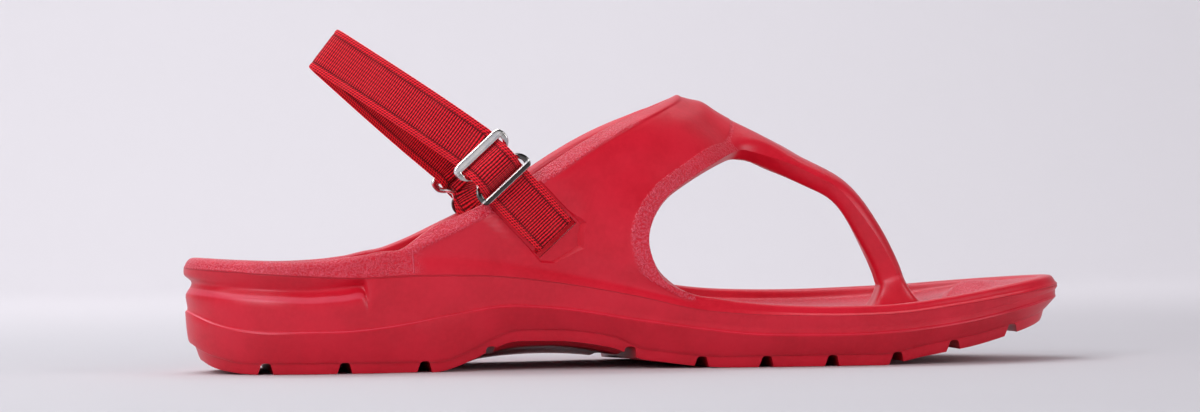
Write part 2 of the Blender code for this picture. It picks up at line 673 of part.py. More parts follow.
def strap_path():
    """Points, directions across and half widths along the whole strap."""
    sides = []
    for seat in (0, 1):
        place = seat_frame(seat)
        across = place(1.0, 0.0, 0.0) - place(0.0, 0.0, 0.0)
        sides.append([(place(0.0, u, n), across, half) for u, n, half in strap_route(SEATS[seat][5])])
    loop_across = np.array(LOOP_ACROSS)
    loops = []
    for seat in (0, 1):
        place = seat_frame(seat)
        start = place(0.0, SEATS[seat][5] + 7.9, 1.65)
        across = sides[seat][-1][1]
        loop = []
        for share, side_share in LOOP:
            point = start + share * (np.array(FOLD) - start)
            point[1] = FOLD[1] + side_share * (start[1] - FOLD[1])
            blend = min(1.0, share / 0.08)
            blend = blend * blend * (3 - 2 * blend)
            loop.append((point, (1 - blend) * across + blend * loop_across,
                         STRAP_WIDTH / 2))
        loops.append(loop)
    chain = loops[0] + loops[1][-2::-1]
    ends = [sides[0][-1]], [sides[1][-1]]
    knots = np.array([np.concatenate([p, a, [h]]) for p, a, h in ends[0] + chain + ends[1]])
    gaps = np.linalg.norm(np.diff(knots[:, :3], axis=0), axis=1)
    places = np.concatenate([[0.0], np.cumsum(gaps)])
    finer = np.linspace(0.0, places[-1], int(places[-1] / LOOP_STEP))[1:-1]
    fine = np.stack([smooth(finer, places, knots[:, k]) for k in range(7)], -1)
    whole = ([np.concatenate([p, a, [h]]) for p, a, h in sides[0]] + list(fine)
             + [np.concatenate([p, a, [h]]) for p, a, h in reversed(sides[1])])
    return np.array(whole)


def build_heel_strap(material):
    """Flat webbing swept along its path."""
    path = strap_path()
    points, across, half = path[:, :3], path[:, 3:6], path[:, 6:]
    steps = np.diff(points, axis=0)
    steps /= np.linalg.norm(steps, axis=1)[:, None]
    tangent = np.vstack([steps[:1], steps[:-1] + steps[1:], steps[-1:]])
    tangent /= np.linalg.norm(tangent, axis=1)[:, None]
    across = across - (across * tangent).sum(1)[:, None] * tangent
    across /= np.linalg.norm(across, axis=1)[:, None]
    normal = np.cross(tangent, across) * STRAP_THICK / 2
    corners = np.stack([points - across * half - normal, points + across * half - normal,
                        points + across * half + normal, points - across * half + normal], 1)
    count = len(points)
    faces = [[0, 1, 2, 3], [4 * (count - 1) + k for k in range(4)]]
    faces += [[4 * i + k, 4 * i + (k + 1) % 4, 4 * i + 4 + (k + 1) % 4, 4 * i + 4 + k]
              for i in range(count - 1) for k in range(4)]
    return mesh_object("heel_strap", corners.reshape(-1, 3), faces, material)


def build_buckle(seat, name, material):
    """One slide buckle: a bent frame, and the middle bar that the strap's end hooks on."""
    place = seat_frame(seat)
    middle = SEATS[seat][5]
    ring = np.array(FRAME + tuple((-w, u, n, wide, thick)
                                  for w, u, n, wide, thick in FRAME[-2:0:-1]))
    following, before = np.roll(ring, -1, 0), np.roll(ring, 1, 0)
    tangent = following[:, :2] - before[:, :2]
    tangent /= np.linalg.norm(tangent, axis=1)[:, None]
    side = np.stack([tangent[:, 1], -tangent[:, 0]], -1)
    profile = [(math.cos(a) * (1.0, 0.92)[k % 2], math.sin(a) * (1.0, 0.92)[k % 2])
               for k, a in enumerate(np.linspace(0, 2 * math.pi, 13)[:-1])]
    verts, faces = [], []
    for (w, u, n, wide, thick), s in zip(ring, side):
        for c, d in profile:
            square = max(abs(c), abs(d)) ** 0.35
            out = c * wide / 2 / square
            verts.append(place(w + s[0] * out, middle + u + s[1] * out,
                               BUCKLE_RISE + n + d * thick / 2 / square))
    sides = len(profile)
    total = len(ring)
    for i in range(total):
        for k in range(sides):
            a, b = i * sides + k, i * sides + (k + 1) % sides
            c, d = ((i + 1) % total) * sides + (k + 1) % sides, ((i + 1) % total) * sides + k
            faces.append([a, b, c, d])
    frame = mesh_object(name, verts, faces, material)
    circle = arc((middle, BUCKLE_RISE - MIDDLE_BAR_DROP), MIDDLE_BAR_RADIUS, 0.0, 330.0, 11)
    reach = FRAME[7][0]
    outline = [place(0.0, u, n) for u, n in circle]
    across = place(1.0, 0.0, 0.0) - place(0.0, 0.0, 0.0)
    bar_verts, bar_faces = prism(outline, -reach * across, reach * across)
    boolean(frame, mesh_object(name + "_middle_bar", bar_verts, bar_faces), "UNION")
    return frame


def main():
    for obj in list(bpy.data.objects):
        bpy.data.objects.remove(obj, do_unlink=True)
    foam = finish_material("red_foam", (0.58, 0.02, 0.035), 0.5)
    webbing = finish_material("red_webbing", (0.36, 0.008, 0.014), 0.8)
    steel = finish_material("polished_steel", (0.75, 0.74, 0.73), 0.18, 1.0)
    body = build_body(foam)
    add_body_cuts(body)
    build_heel_strap(webbing)
    build_buckle(0, "slide_buckle_medial", steel)
    build_buckle(1, "slide_buckle_lateral", steel)


main()
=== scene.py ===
# %% [markdown]
# # A left running sandal
#
# This sandal is one moulding of red foam: a thick sole, a footbed with a raised rim, two wings
# that lean together over the instep, and a strap that runs from there down between the first
# two toes. A length of elastic webbing behind the heel ends in two metal slide buckles.
#
# The packed solids are the frame. They have the right sizes but plain faces, so each one is
# replaced here by a finer piece of the same size in the same place. Lengths are in millimetres
# with x counted from the back of the heel, and they turn into metres when a mesh is made.

import math

import bmesh
import bpy
import numpy as np
from mathutils import Matrix, Vector


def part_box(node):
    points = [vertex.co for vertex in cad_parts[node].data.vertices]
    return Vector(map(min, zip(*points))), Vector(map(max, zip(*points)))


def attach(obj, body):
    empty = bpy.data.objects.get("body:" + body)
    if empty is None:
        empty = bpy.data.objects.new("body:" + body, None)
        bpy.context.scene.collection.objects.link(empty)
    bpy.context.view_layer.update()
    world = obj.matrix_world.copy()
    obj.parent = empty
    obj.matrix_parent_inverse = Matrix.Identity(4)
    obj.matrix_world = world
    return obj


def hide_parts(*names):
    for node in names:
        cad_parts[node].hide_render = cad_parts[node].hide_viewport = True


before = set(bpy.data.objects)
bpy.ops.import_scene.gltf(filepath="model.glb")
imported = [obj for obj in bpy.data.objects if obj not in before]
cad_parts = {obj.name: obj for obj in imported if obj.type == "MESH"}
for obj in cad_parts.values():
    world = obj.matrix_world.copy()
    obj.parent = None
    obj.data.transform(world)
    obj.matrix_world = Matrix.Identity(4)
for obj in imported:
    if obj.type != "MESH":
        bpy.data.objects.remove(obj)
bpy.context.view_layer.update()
MM = 0.001
HEEL_TIP = (1.3, 0.0)     # the sole's furthest point at the back: x, y
HEEL_REST_X = HEEL_TIP[0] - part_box("moulded_body")[0].x / MM
print("CAD nodes:", sorted(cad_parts))
print("the origin is", round(HEEL_REST_X, 2), "mm from the back of the heel")

# %% [markdown]
# ## Small tools
#
# A table of given sizes becomes a smooth curve when a cubic runs through its rows. Every
# outline and height of the sandal is read from such a table, so one helper serves them all. A
# soft step, 0 on one side and 1 on the other, is what fades one shape into the next.


# %% Curves through tables
def hermite(t, first, second, leaving, arriving):
    """Cubic from first at t = 0 to second at t = 1 with these end slopes: each of the four
    is multiplied by its Hermite weight, and the products are added."""
    return ((2 * t**3 - 3 * t**2 + 1) * first + (t**3 - 2 * t**2 + t) * leaving
            + (3 * t**2 - 2 * t**3) * second + (t**3 - t**2) * arriving)


def smooth(x, knots, values):
    """Cubic through the knots: on each interval the rows give the two end values, and the
    neighbouring rows the two end slopes."""
    knots, values = np.asarray(knots, float), np.asarray(values, float)
    x = np.clip(np.asarray(x, float), knots[0], knots[-1])
    slopes = np.gradient(values, knots)
    i = np.clip(np.searchsorted(knots, x) - 1, 0, len(knots) - 2)
    h = knots[i + 1] - knots[i]
    return hermite((x - knots[i]) / h, values[i], values[i + 1], h * slopes[i],
                   h * slopes[i + 1])


def column(table, x, index):
    """One column of a table, read at x."""
    return smooth(x, [row[0] for row in table], [row[index] for row in table])


def step(x, start, end):
    """0 at start, 1 at end, and 3t^2 - 2t^3 between them; start may be the larger."""
    t = np.clip((np.asarray(x, float) - start) / (end - start), 0.0, 1.0)
    return t * t * (3 - 2 * t)


def unit(vectors):
    """Vectors along the last axis, divided by their lengths."""
    return vectors / np.linalg.norm(vectors, axis=-1, keepdims=True)


print("a soft step half way:", float(step(0.5, 0.0, 1.0)))

# %% [markdown]
# ## Meshes from arrays
#
# A mesh can be typed in face by face, or drawn with Blender's own primitives. Here the points
# of a piece are worked out all at once as a grid, and the faces are the grid's squares. A
# closed ring of points carried along a path gives a tube: that is how the cutters, the webbing
# and the buckles are made.


# %% Grids and tubes
def grid_quads(rows, columns, start=0):
    """Corner numbers of the faces of a grid of points stored row by row: [row, column, 4]."""
    r, c = np.meshgrid(np.arange(rows - 1), np.arange(columns - 1), indexing="ij")
    corner = start + r * columns + c
    return np.stack([corner, corner + 1, corner + columns + 1, corner + columns], -1)


def mesh_from(name, points, corners, totals):
    """A mesh in metres from points in millimetres; totals counts the corners of each face."""
    mesh = bpy.data.meshes.new(name)
    mesh.vertices.add(len(points))
    mesh.vertices.foreach_set("co", ((points - (HEEL_REST_X, 0, 0)) * MM).ravel())
    mesh.loops.add(len(corners))
    mesh.loops.foreach_set("vertex_index", corners)
    mesh.polygons.add(len(totals))
    mesh.polygons.foreach_set("loop_start", np.cumsum(totals) - totals)
    mesh.update(calc_edges=True)
    return mesh


def write_uv(mesh, name, values):
    """Adds a UV map with one pair of numbers for each corner of each face."""
    mesh.uv_layers.new(name=name).data.foreach_set("uv", values.ravel())


def face_outwards(mesh):
    """Turns the faces of a closed mesh outwards."""
    bm = bmesh.new()
    bm.from_mesh(mesh)
    bmesh.ops.recalc_face_normals(bm, faces=bm.faces)
    bm.to_mesh(mesh)
    bm.free()


def tube(name, rings, closed=False, chart=None):
    """A tube from rings of points, [ring, place, xyz]. Places wrap round a ring. A closed
    tube wraps from the last ring to the first, and an open one gets flat ends. The chart
    names a UV map and gives its numbers, with each ring's first place repeated last."""
    count, sides = rings.shape[:2]
    quads = grid_quads(count + closed, sides + 1).reshape(-1, 4)
    ring, place = quads // (sides + 1) % count, quads % (sides + 1) % sides
    corners, totals = (ring * sides + place).ravel(), np.full(len(quads), 4)
    ends = np.array([], int) if closed else np.array([0, count - 1])
    caps = ends[:, None] * sides + np.arange(sides)
    corners = np.concatenate([corners, caps.ravel()])
    totals = np.concatenate([totals, np.full(len(ends), sides)])
    mesh = mesh_from(name, rings.reshape(-1, 3), corners, totals)
    if chart:
        values = chart[1].reshape(-1, 2)
        cap_places = (ends[:, None] * (sides + 1) + np.arange(sides)).ravel()
        write_uv(mesh, chart[0], values[np.concatenate([quads.ravel(), cap_places])])
    face_outwards(mesh)
    return mesh


print("faces of a 3 by 4 grid of points:", grid_quads(3, 4).reshape(-1, 4).shape[0])


# %% [markdown]
# A mesh shows once an object holds it. Its points are placed straight in the shared frame, so
# the object stays at the origin. Modifiers could stay live, but worked out into the mesh they
# give the final faces, and edges can then be marked sharp where faces meet at an angle.


# %% Objects
def new_piece(name, data):
    """An object for a mesh, a light or a camera, at the origin."""
    obj = bpy.data.objects.new(name, data)
    bpy.context.scene.collection.objects.link(obj)
    return obj


def joined(name, meshes):
    """One object from several meshes, with loose parts kept apart."""
    bm = bmesh.new()
    for mesh in meshes:
        bm.from_mesh(mesh)
    whole = bpy.data.meshes.new(name)
    bm.to_mesh(whole)
    bm.free()
    return new_piece(name, whole)


def work_out(obj):
    """Applies the object's modifiers to its mesh and removes them."""
    bpy.context.view_layer.update()
    graph = bpy.context.evaluated_depsgraph_get()
    mesh = bpy.data.meshes.new_from_object(obj.evaluated_get(graph))
    obj.modifiers.clear()
    obj.data = mesh


def shade(mesh, sharp_degrees):
    """Smooth shading, with edges sharp where two faces meet at more than this angle."""
    mesh.polygons.foreach_set("use_smooth", np.ones(len(mesh.polygons), bool))
    mesh.set_sharp_from_angle(angle=math.radians(sharp_degrees))


def read_points(mesh):
    """The mesh's points in table millimetres."""
    flat = np.empty(3 * len(mesh.vertices))
    mesh.vertices.foreach_get("co", flat)
    return flat.reshape(-1, 3) / MM + (HEEL_REST_X, 0, 0)


def write_points(mesh, points):
    """Puts points in table millimetres back into the mesh."""
    mesh.vertices.foreach_set("co", ((points - (HEEL_REST_X, 0, 0)) * MM).ravel())
    mesh.update()


# %% [markdown]
# The foam body needs several grids that meet: two halves of the sole, the wings, the toe strap.
# A cage welds them into one closed mesh and marks which of its edges stay crisp.


# %% A cage of patches
WELD_DIGITS = 4


class Cage:
    """Patches of points that share their borders, welded into one closed mesh.

    A patch is a grid of points with a second grid, the chart, that says where each point
    is on the patch. Points of any patches that lie together become one point. A face that
    loses a corner this way becomes a triangle, and one that loses two is dropped.
    """

    def __init__(self):
        self.points, self.quads, self.charts, self.creases = [], [], [], []

    def patch(self, points, chart, holes=None):
        """Adds a grid of points and returns their numbers, as a grid too."""
        rows, columns = points.shape[:2]
        start = sum(len(p) for p in self.points)
        quads = grid_quads(rows, columns, start)
        self.points.append(points.reshape(-1, 3))
        self.charts.append(chart.reshape(-1, 2))
        self.quads.append(quads.reshape(-1, 4) if holes is None else quads[~holes])
        return start + np.arange(rows * columns).reshape(rows, columns)

    def sharpen(self, line, amount):
        """Marks the edges along a line of point numbers as creases."""
        pairs = np.stack([line[:-1], line[1:]], -1)
        self.creases.append((pairs, np.broadcast_to(amount, len(pairs))))

    def mesh(self, name):
        """The welded mesh, with the charts as its UV map and the creases on its edges."""
        points, charts = np.concatenate(self.points), np.concatenate(self.charts)
        quads = np.concatenate(self.quads)
        _, first, weld = np.unique(np.round(points, WELD_DIGITS), axis=0, return_index=True,
                                   return_inverse=True)
        weld = weld.ravel()
        used, corners = np.unique(weld[quads], return_inverse=True)
        corners = corners.reshape(-1, 4)
        kept = corners != np.roll(corners, -1, axis=1)
        faces = kept.sum(1) >= 3
        corners, kept, source = corners[faces], kept[faces], quads[faces]
        mesh = mesh_from(name, points[first[used]], corners[kept], kept.sum(1))
        write_uv(mesh, "chart", charts[source[kept]])
        number = np.full(len(first), -1)
        number[used] = np.arange(len(used))
        self.crease(mesh, number[weld])
        face_outwards(mesh)
        return mesh

    def crease(self, mesh, number):
        """Writes the creases on the mesh's edges. An edge is found by one key worked out from
        its two point numbers: smaller * count + larger."""
        weights = (len(mesh.vertices), 1)
        edges = np.empty(2 * len(mesh.edges), int)
        mesh.edges.foreach_get("vertices", edges)
        keys = np.sort(edges.reshape(-1, 2), 1) @ weights
        pairs, amounts = (np.concatenate(part) for part in zip(*self.creases))
        wanted = np.sort(number[pairs], 1) @ weights
        order = np.argsort(keys)
        at = order[np.clip(np.searchsorted(keys[order], wanted), 0, len(keys) - 1)]
        found = keys[at] == wanted
        values = np.zeros(len(keys))
        values[at[found]] = amounts[found]
        mesh.attributes.new("crease_edge", "FLOAT", "EDGE").data.foreach_set("value", values)


print("points weld when they agree to", 10.0**-WELD_DIGITS, "mm")

# %% [markdown]
# ## The moulded body
#
# On the real sandal the sole, the footbed, the wings and the toe strap come out of one mould,
# with no seam between them. It could be made from several solids joined by Booleans, but the
# joins would be hard where the foam flows softly. So the body is one cage of four-sided faces
# that a Subdivision Surface rounds, and the crisp moulded lines are creased edges in it.
#
# The cage of the sole is a set of rows. Each row keeps a distance from the outline seen from
# above and a height from a table, from the middle of the underside, round the edge and over
# the rim, to the middle of the footbed.

# %% Sizes of the sole
# The outline from above: x, y of the inner edge, y of the outer edge.
OUTLINE = (
    (3.8, -12.0, 12.0),
    (11.0, -22.4, 22.2),
    (23.6, -31.2, 30.6),
    (45.0, -35.6, 35.2),
    (70.0, -35.2, 37.6),
    (95.0, -34.2, 40.4),
    (115.0, -34.6, 42.8),
    (140.0, -37.6, 46.6),
    (165.0, -42.0, 50.6),
    (187.0, -45.2, 52.2),
    (207.0, -46.2, 49.8),
    (225.0, -45.0, 44.8),
    (242.0, -41.4, 37.2),
    (257.0, -35.4, 27.6),
    (269.0, -28.0, 15.4),
    (277.0, -20.0, 2.6),
)
TOE_TIP = (280.8, -9.5)

# The middle line from above: x, y.
SPINE = ((31.0, 0.0), (120.0, 1.5), (175.0, -6.0), (217.0, -13.0), (234.0, -13.6),
         (242.0, -12.5))

# Heights along the sole: x, parting line, wave ledge, inner rim, outer rim, footbed.
HEIGHTS = (
    (0.0, 32.8, 20.2, 36.0, 36.0, 27.8),
    (8.0, 32.2, 16.2, 35.5, 35.3, 27.4),
    (20.0, 31.3, 13.6, 35.0, 34.5, 26.8),
    (36.0, 30.2, 13.2, 34.8, 34.0, 26.4),
    (54.0, 29.4, 13.6, 36.4, 35.3, 26.6),
    (67.0, 29.8, 15.2, 38.4, 37.9, 27.0),
    (82.0, 29.8, 17.8, 38.8, 38.4, 27.2),
    (97.0, 29.2, 20.2, 37.0, 36.6, 26.8),
    (115.0, 27.0, 19.4, 33.2, 33.2, 25.2),
    (140.0, 22.4, 15.4, 27.2, 28.6, 21.6),
    (157.0, 18.4, 12.8, 22.8, 25.2, 19.2),
    (176.0, 16.5, 10.6, 19.9, 22.6, 17.4),
    (190.0, 16.0, 10.2, 18.9, 21.9, 16.8),
    (207.0, 15.8, 10.2, 18.6, 21.8, 16.6),
    (222.0, 16.3, 11.0, 19.1, 22.3, 17.0),
    (240.0, 18.3, 13.0, 21.2, 23.2, 18.8),
    (257.0, 20.5, 15.8, 23.5, 24.6, 21.2),
    (270.0, 22.2, 18.4, 25.3, 25.7, 23.4),
    (280.0, 23.6, 20.4, 26.6, 26.6, 25.0),
)

# The tread from the side, with the heel's bevel and the toe spring: x, height over the floor.
ROCKER = ((0.0, 7.2), (5.6, 4.4), (9.0, 2.2), (14.0, 0.8), (20.0, 0.0), (38.0, 0.0),
          (120.0, 0.0), (217.0, 0.0), (221.0, 0.6), (226.0, 1.7), (236.0, 3.4),
          (250.0, 5.8), (261.0, 8.5), (270.0, 11.0), (280.0, 14.6))

# Lift of the arch: x, inner edge, middle, outer edge.
ARCH = (
    (60.0, 0.0, 0.0, 0.0),
    (78.0, 0.0, 0.0, 0.0),
    (85.0, 2.0, 1.0, 0.1),
    (92.5, 5.4, 2.8, 0.5),
    (98.0, 8.0, 4.6, 1.2),
    (111.0, 9.0, 6.2, 2.3),
    (127.0, 7.6, 5.2, 2.2),
    (134.0, 6.0, 3.8, 1.6),
    (140.5, 3.1, 2.2, 0.8),
    (147.0, 2.1, 1.2, 0.2),
    (158.0, 0.6, 0.3, 0.0),
    (166.0, 0.0, 0.0, 0.0),
    (190.0, 0.0, 0.0, 0.0),
)

# Stations along the sole: so many in a fan at both ends, and from x, to x, count between.
HEEL_ARC, TOE_ARC = 8, 8
MARKS = ((31.0, 54.4, 5), (54.4, 56.2, 1), (56.2, 67.0, 2), (67.0, 157.0, 16),
         (157.0, 217.0, 11), (217.0, 234.0, 3), (234.0, 242.0, 1))
WING_FROM, WING_TO = HEEL_ARC + 8, HEEL_ARC + 24      # stations that a wing stands on
POST_FROM, POST_TO = HEEL_ARC + 35, HEEL_ARC + 38     # stations under the toe strap
POST_HALF = 7.4           # half width of the toe strap's foot on the footbed

HEEL_BACK, SOFT_RIM, TOE_RISE = 14.0, (64.0, 46.0), (262.0, 276.0)     # x where they fade
LUG_HEIGHT = 3.3          # of the tread's edge, up to where it bevels back
LEDGE = 1.6               # height of the wave ledge's face
RIM_BEVEL = 1.8           # drop of the sloped lip outside the rim
BED_INSET = 13.0          # how far inside the outline the footbed begins

# The long groove round the heel: x and height of its middle, then its three rows. A row has
# its share of the height from ledge to parting line where the groove is gone, its height over
# the groove's middle, its depth, and what the back of the heel adds to the height and takes
# from the depth.
GROOVE_LINE = ((0.0, 28.6), (16.0, 27.0), (38.0, 25.7), (57.0, 27.0))
GROOVE_ROWS = ((0.25, -4.2, 0.15, 0.3, -0.45), (0.5, -1.0, 2.4, 0.7, 0.0),
               (0.75, 0.5, 2.5, 1.5, 2.5))
GROOVE_END, GROOVE_GONE = 54.4, 56.2
print("length of the outline:", TOE_TIP[0] - HEEL_TIP[0], "mm")


# %% [markdown]
# A smooth closed curve runs through the outline's table. Stations cut it from heel to toe:
# straight across along the foot, and fanned out like spokes round both ends, which keeps the
# faces from shrinking to slivers in the curves.


# %% Stations of the sole
OUTLINE_STEPS = 40        # points of the finer outline between two rows of the table


def closed_curve(points, steps):
    """Closed curve through the points: between two of them, the cubic whose end slopes
    come from the chords on both sides, weighted by the lengths of those chords."""
    p = np.asarray(points, float)
    before, after, later = np.roll(p, 1, 0), np.roll(p, -1, 0), np.roll(p, -2, 0)
    d0 = np.linalg.norm(p - before, axis=1)[:, None]
    d1 = np.linalg.norm(after - p, axis=1)[:, None]
    d2 = np.linalg.norm(later - after, axis=1)[:, None]
    m0 = d1 * ((p - before) / d0 * d1 + (after - p) / d1 * d0) / (d0 + d1)
    m1 = d1 * ((after - p) / d1 * d2 + (later - after) / d2 * d1) / (d1 + d2)
    t = (np.arange(steps) / steps)[None, :, None]
    curve = hermite(t, *(a[:, None, :] for a in (p, after, m0, m1)))
    return curve.reshape(-1, curve.shape[-1])


def edge_by_angle(line, sign, centre, angles):
    """Where rays from the centre, at equal angles, meet one side's edge line."""
    around = np.arctan2(sign * (line[:, 1] - centre[1]), line[:, 0] - centre[0])
    order = np.argsort(around)
    return np.stack([np.interp(angles, around[order], line[order, k]) for k in (0, 1)], -1)


def stations():
    """Spine point and the two edge points of each station, heel to toe. Round the heel and
    the toe the stations fan out from one spine point in equal angles."""
    rows = [HEEL_TIP] + [(x, inner) for x, inner, _ in OUTLINE] + [TOE_TIP]
    rows += [(x, outer) for x, _, outer in reversed(OUTLINE)]
    curve = closed_curve(rows, OUTLINE_STEPS)
    half = (len(OUTLINE) + 1) * OUTLINE_STEPS
    sides = (curve[:half + 1], np.vstack([curve[half:], curve[:1]])[::-1])
    middle = np.concatenate([[MARKS[0][0]]] + [np.linspace(start, end, count + 1)[1:]
                                               for start, end, count in MARKS])
    heel, toe = np.array(SPINE[0]), np.array(SPINE[-1])
    spine = np.stack([middle, smooth(middle, *np.array(SPINE).T)], -1)
    spine = np.vstack([np.tile(heel, (HEEL_ARC, 1)), spine, np.tile(toe, (TOE_ARC, 1))])
    back_angles = np.linspace(math.pi, math.pi / 2, HEEL_ARC + 1)[:-1]
    front_angles = np.linspace(math.pi / 2, 0.0, TOE_ARC + 1)[1:]
    edges = np.array([
        np.vstack([edge_by_angle(line, sign, heel, back_angles),
                   np.stack([middle, np.interp(middle, line[:, 0], line[:, 1])], -1),
                   edge_by_angle(line, sign, toe, front_angles)])
        for line, sign in zip(sides, (-1.0, 1.0))])
    edges[1, [0, -1]] = edges[0, [0, -1]]
    return spine, edges


print("stations from heel to toe:", len(stations()[0]))

# %% [markdown]
# Now each station gets its section. A row keeps one inset from the outline and one height all
# the way from heel to toe, so a moulded line, such as the ledge or the rim, is simply a row.


# %% Rows of the sole
def underside(x):
    """Height of the tread over the floor, flat from the heel's bevel to the toe spring."""
    return np.maximum(column(ROCKER, x, 1), 0.0)


def sole_rows():
    """Points of the sole's cage as an array [row, side, station, xyz]."""
    spine, edges = stations()
    reach = np.linalg.norm(edges - spine, axis=2)
    inward = (spine - edges) / reach[..., None]
    x = edges[..., 0]
    side = np.array([[0], [1]])
    part, wave, inner_rim, outer_rim, bed = (column(HEIGHTS, x, k) for k in range(1, 6))
    rim = np.where(side == 0, inner_rim, outer_rim)
    part = part + 0.45 * (rim - inner_rim)
    # Shares, 1 at the back of the heel, along its groove, along its softer rim, at the toes.
    heel = np.clip(1.0 - x / HEEL_BACK, 0.0, 1.0)
    back = np.clip((GROOVE_GONE - x) / (GROOVE_GONE - GROOVE_END), 0.0, 1.0)
    softer = step(x, *SOFT_RIM)
    toe = step(x, *TOE_RISE)

    def at(inset, height):
        plan = edges + inward * np.broadcast_to(inset, reach.shape)[..., None]
        return np.concatenate([plan, np.broadcast_to(height, reach.shape)[..., None]], 2)

    def under(inset, share):
        row = at(inset, 0.0)
        lift = np.where(side == 0, column(ARCH, x, 1), column(ARCH, x, 3))
        arch = share * lift + (1 - share) * column(ARCH, x, 2)
        row[..., 2] = underside(row[..., 0]) + np.maximum(arch, 0.0)
        return row

    # The underside, from the middle line to the edge.
    rows = [under(reach, 0.0), under(0.5 * reach, 0.3), under(BED_INSET, 0.8),
            under(6.0 - 1.2 * heel, 1.0)]
    # The tread's lugs with their bevel, and the wave ledge.
    lug = rows[-1][..., 2] + LUG_HEIGHT + 1.4 * heel
    rows += [at(4.8 - 1.9 * heel, lug), at(3.9 - 3.0 * heel, lug + 0.9 + 0.8 * heel),
             at(0.3 + 0.5 * toe, wave - 0.6), at(0.95, wave + 0.2), at(0.9, wave + LEDGE)]
    # The side wall, with the groove round the heel.
    groove = np.interp(x, *np.array(GROOVE_LINE).T)
    for share, over, deep, higher, shallower in GROOVE_ROWS:
        plain = (1 - share) * (wave + LEDGE) + share * part
        height = back * (groove + over + higher * heel) + (1 - back) * plain
        depth = deep - shallower * heel
        rows.append(at(back * depth + (1 - back) * 0.9 * (1 - share), height))
    # The parting line, the bevel below the rim, the rim itself and the footbed.
    rows += [at(0.35 * toe, part),
             at(0.7 - 0.4 * softer - 0.4 * toe, 0.5 * (part + rim - RIM_BEVEL)),
             at(1.3 - 0.5 * softer - 0.3 * toe, rim - RIM_BEVEL + 0.4 * softer),
             at(2.6, rim),
             at(6.4, rim - 0.3),
             at(7.8, rim - np.minimum(2.4, 0.55 * (rim - bed))),
             at(BED_INSET, bed + 0.22 * (rim - bed)),
             at(0.5 * (BED_INSET + reach - POST_HALF), bed + 0.04 * (rim - bed)),
             at(reach - POST_HALF, bed),
             at(reach, bed)]
    rows = np.array(rows)
    # The first and last rows run along the middle line and are shared by both sides.
    first, final = HEEL_ARC, rows.shape[2] - 1 - TOE_ARC
    ends = rows[[0, -1]]
    ends[:, :, :first] = ends[:, :1, first:first + 1]
    ends[:, :, final + 1:] = ends[:, :1, final:final + 1]
    ends[:, 1] = ends[:, 0]
    rows[[0, -1]] = ends
    rows[:, 1, 0], rows[:, 1, -1] = rows[:, 0, 0], rows[:, 0, -1]
    return rows


SOLE = sole_rows()
EDGE_ROW, LUG_ROW, LUG_TOP_ROW, WAVE_ROW, WAVE_TOP_ROW, LEDGE_ROW = 3, 4, 5, 6, 7, 9
GROOVE_TOP_ROW, PARTING_ROW, FACET_ROW, RIM_ROW, RIM_IN_ROW, INNER_ROW = 11, 12, 14, 15, 16, 17
print("rows, sides, stations:", SOLE.shape[:3])

# %% [markdown]
# ## Wings and toe strap
#
# Two wings rise from the rim and meet over the instep. Seen along the foot, they are one arch.
# Each rib of the arch is a line from the collar edge at the back to the window edge at the
# front, with a little crown between them, and a lip slopes down along both edges. The inner
# face lies one wall thickness inside. The toe strap starts from the arch's front edge and runs
# down to the footbed as a row of ten-sided rings.

# %% Sizes of the wings and the toe strap
WALL, WALL_TOP = 5.6, 3.0           # of the wings, and what the top adds
OUTER_DROP = 2.4          # how much lower the collar runs on the outer side
FACET_WIDTH, FACET_LESS = 5.0, 3.6  # of the collar's sloped lip, and what it loses at the top
WINDOW_FACET_WIDTH = 3.6
LIP_DROP, WINDOW_LIP_DROP = 2.0, 0.3
INNER_PULL = 1.6          # how far the inner face stays back from both edges
ROUNDING = 1.3            # of the edges on the inner side
KNEE, KNEE_AT, KNEE_LENGTH = 1.0, 0.42, 0.16   # bump on the topmost ribs: height, place, size

# Ribs of the inner wing: x, y, z at the collar, x, y, z at the window, height of the crown.
RIBS = (
    (75.5, -33.8, 44.0, 148.5, -38.4, 26.4, 0.2),
    (85.5, -33.2, 48.9, 144.6, -37.8, 32.6, 0.4),
    (97.0, -32.4, 54.6, 143.0, -37.0, 40.2, 0.6),
    (109.5, -31.0, 62.3, 145.2, -35.9, 47.8, 0.8),
    (122.0, -28.2, 70.4, 150.0, -33.8, 54.0, 1.0),
    (134.0, -23.4, 76.9, 156.6, -30.4, 58.4, 1.2),
    (144.2, -17.0, 81.2, 163.4, -25.6, 62.2, 1.3),
    (151.6, -10.6, 84.0, 170.4, -19.4, 65.6, 1.3),
    (156.0, -5.2, 85.7, 176.8, -12.2, 68.0, 1.0),
    (157.4, 0.0, 86.2, 180.4, 0.0, 75.6, 0.8),
)

# Rings of the toe strap: x, z, y, half width, thickness, how deep the side ridges lie.
TOE_STRAP = (
    (187.4, 71.6, -1.6, 9.6, 9.0, 0.60),
    (196.4, 66.4, -4.8, 8.1, 7.9, 0.38),
    (203.8, 62.3, -8.0, 7.1, 7.6, 0.36),
    (210.2, 58.2, -10.4, 6.6, 7.3, 0.36),
    (215.6, 52.6, -12.0, 6.3, 7.6, 0.38),
    (220.0, 46.0, -13.0, 6.0, 8.2, 0.36),
    (223.8, 39.2, -13.5, 5.8, 8.5, 0.34),
    (227.0, 32.2, -13.6, 5.8, 8.5, 0.32),
    (228.4, 28.4, -13.6, 6.0, 8.6, 0.31),
    (229.8, 25.0, -13.6, 6.9, 9.6, 0.30),
)
STRAP_START, STRAP_FOOT = (178.0, 0.0, 76.6), (231.0, -13.6, 17.0)
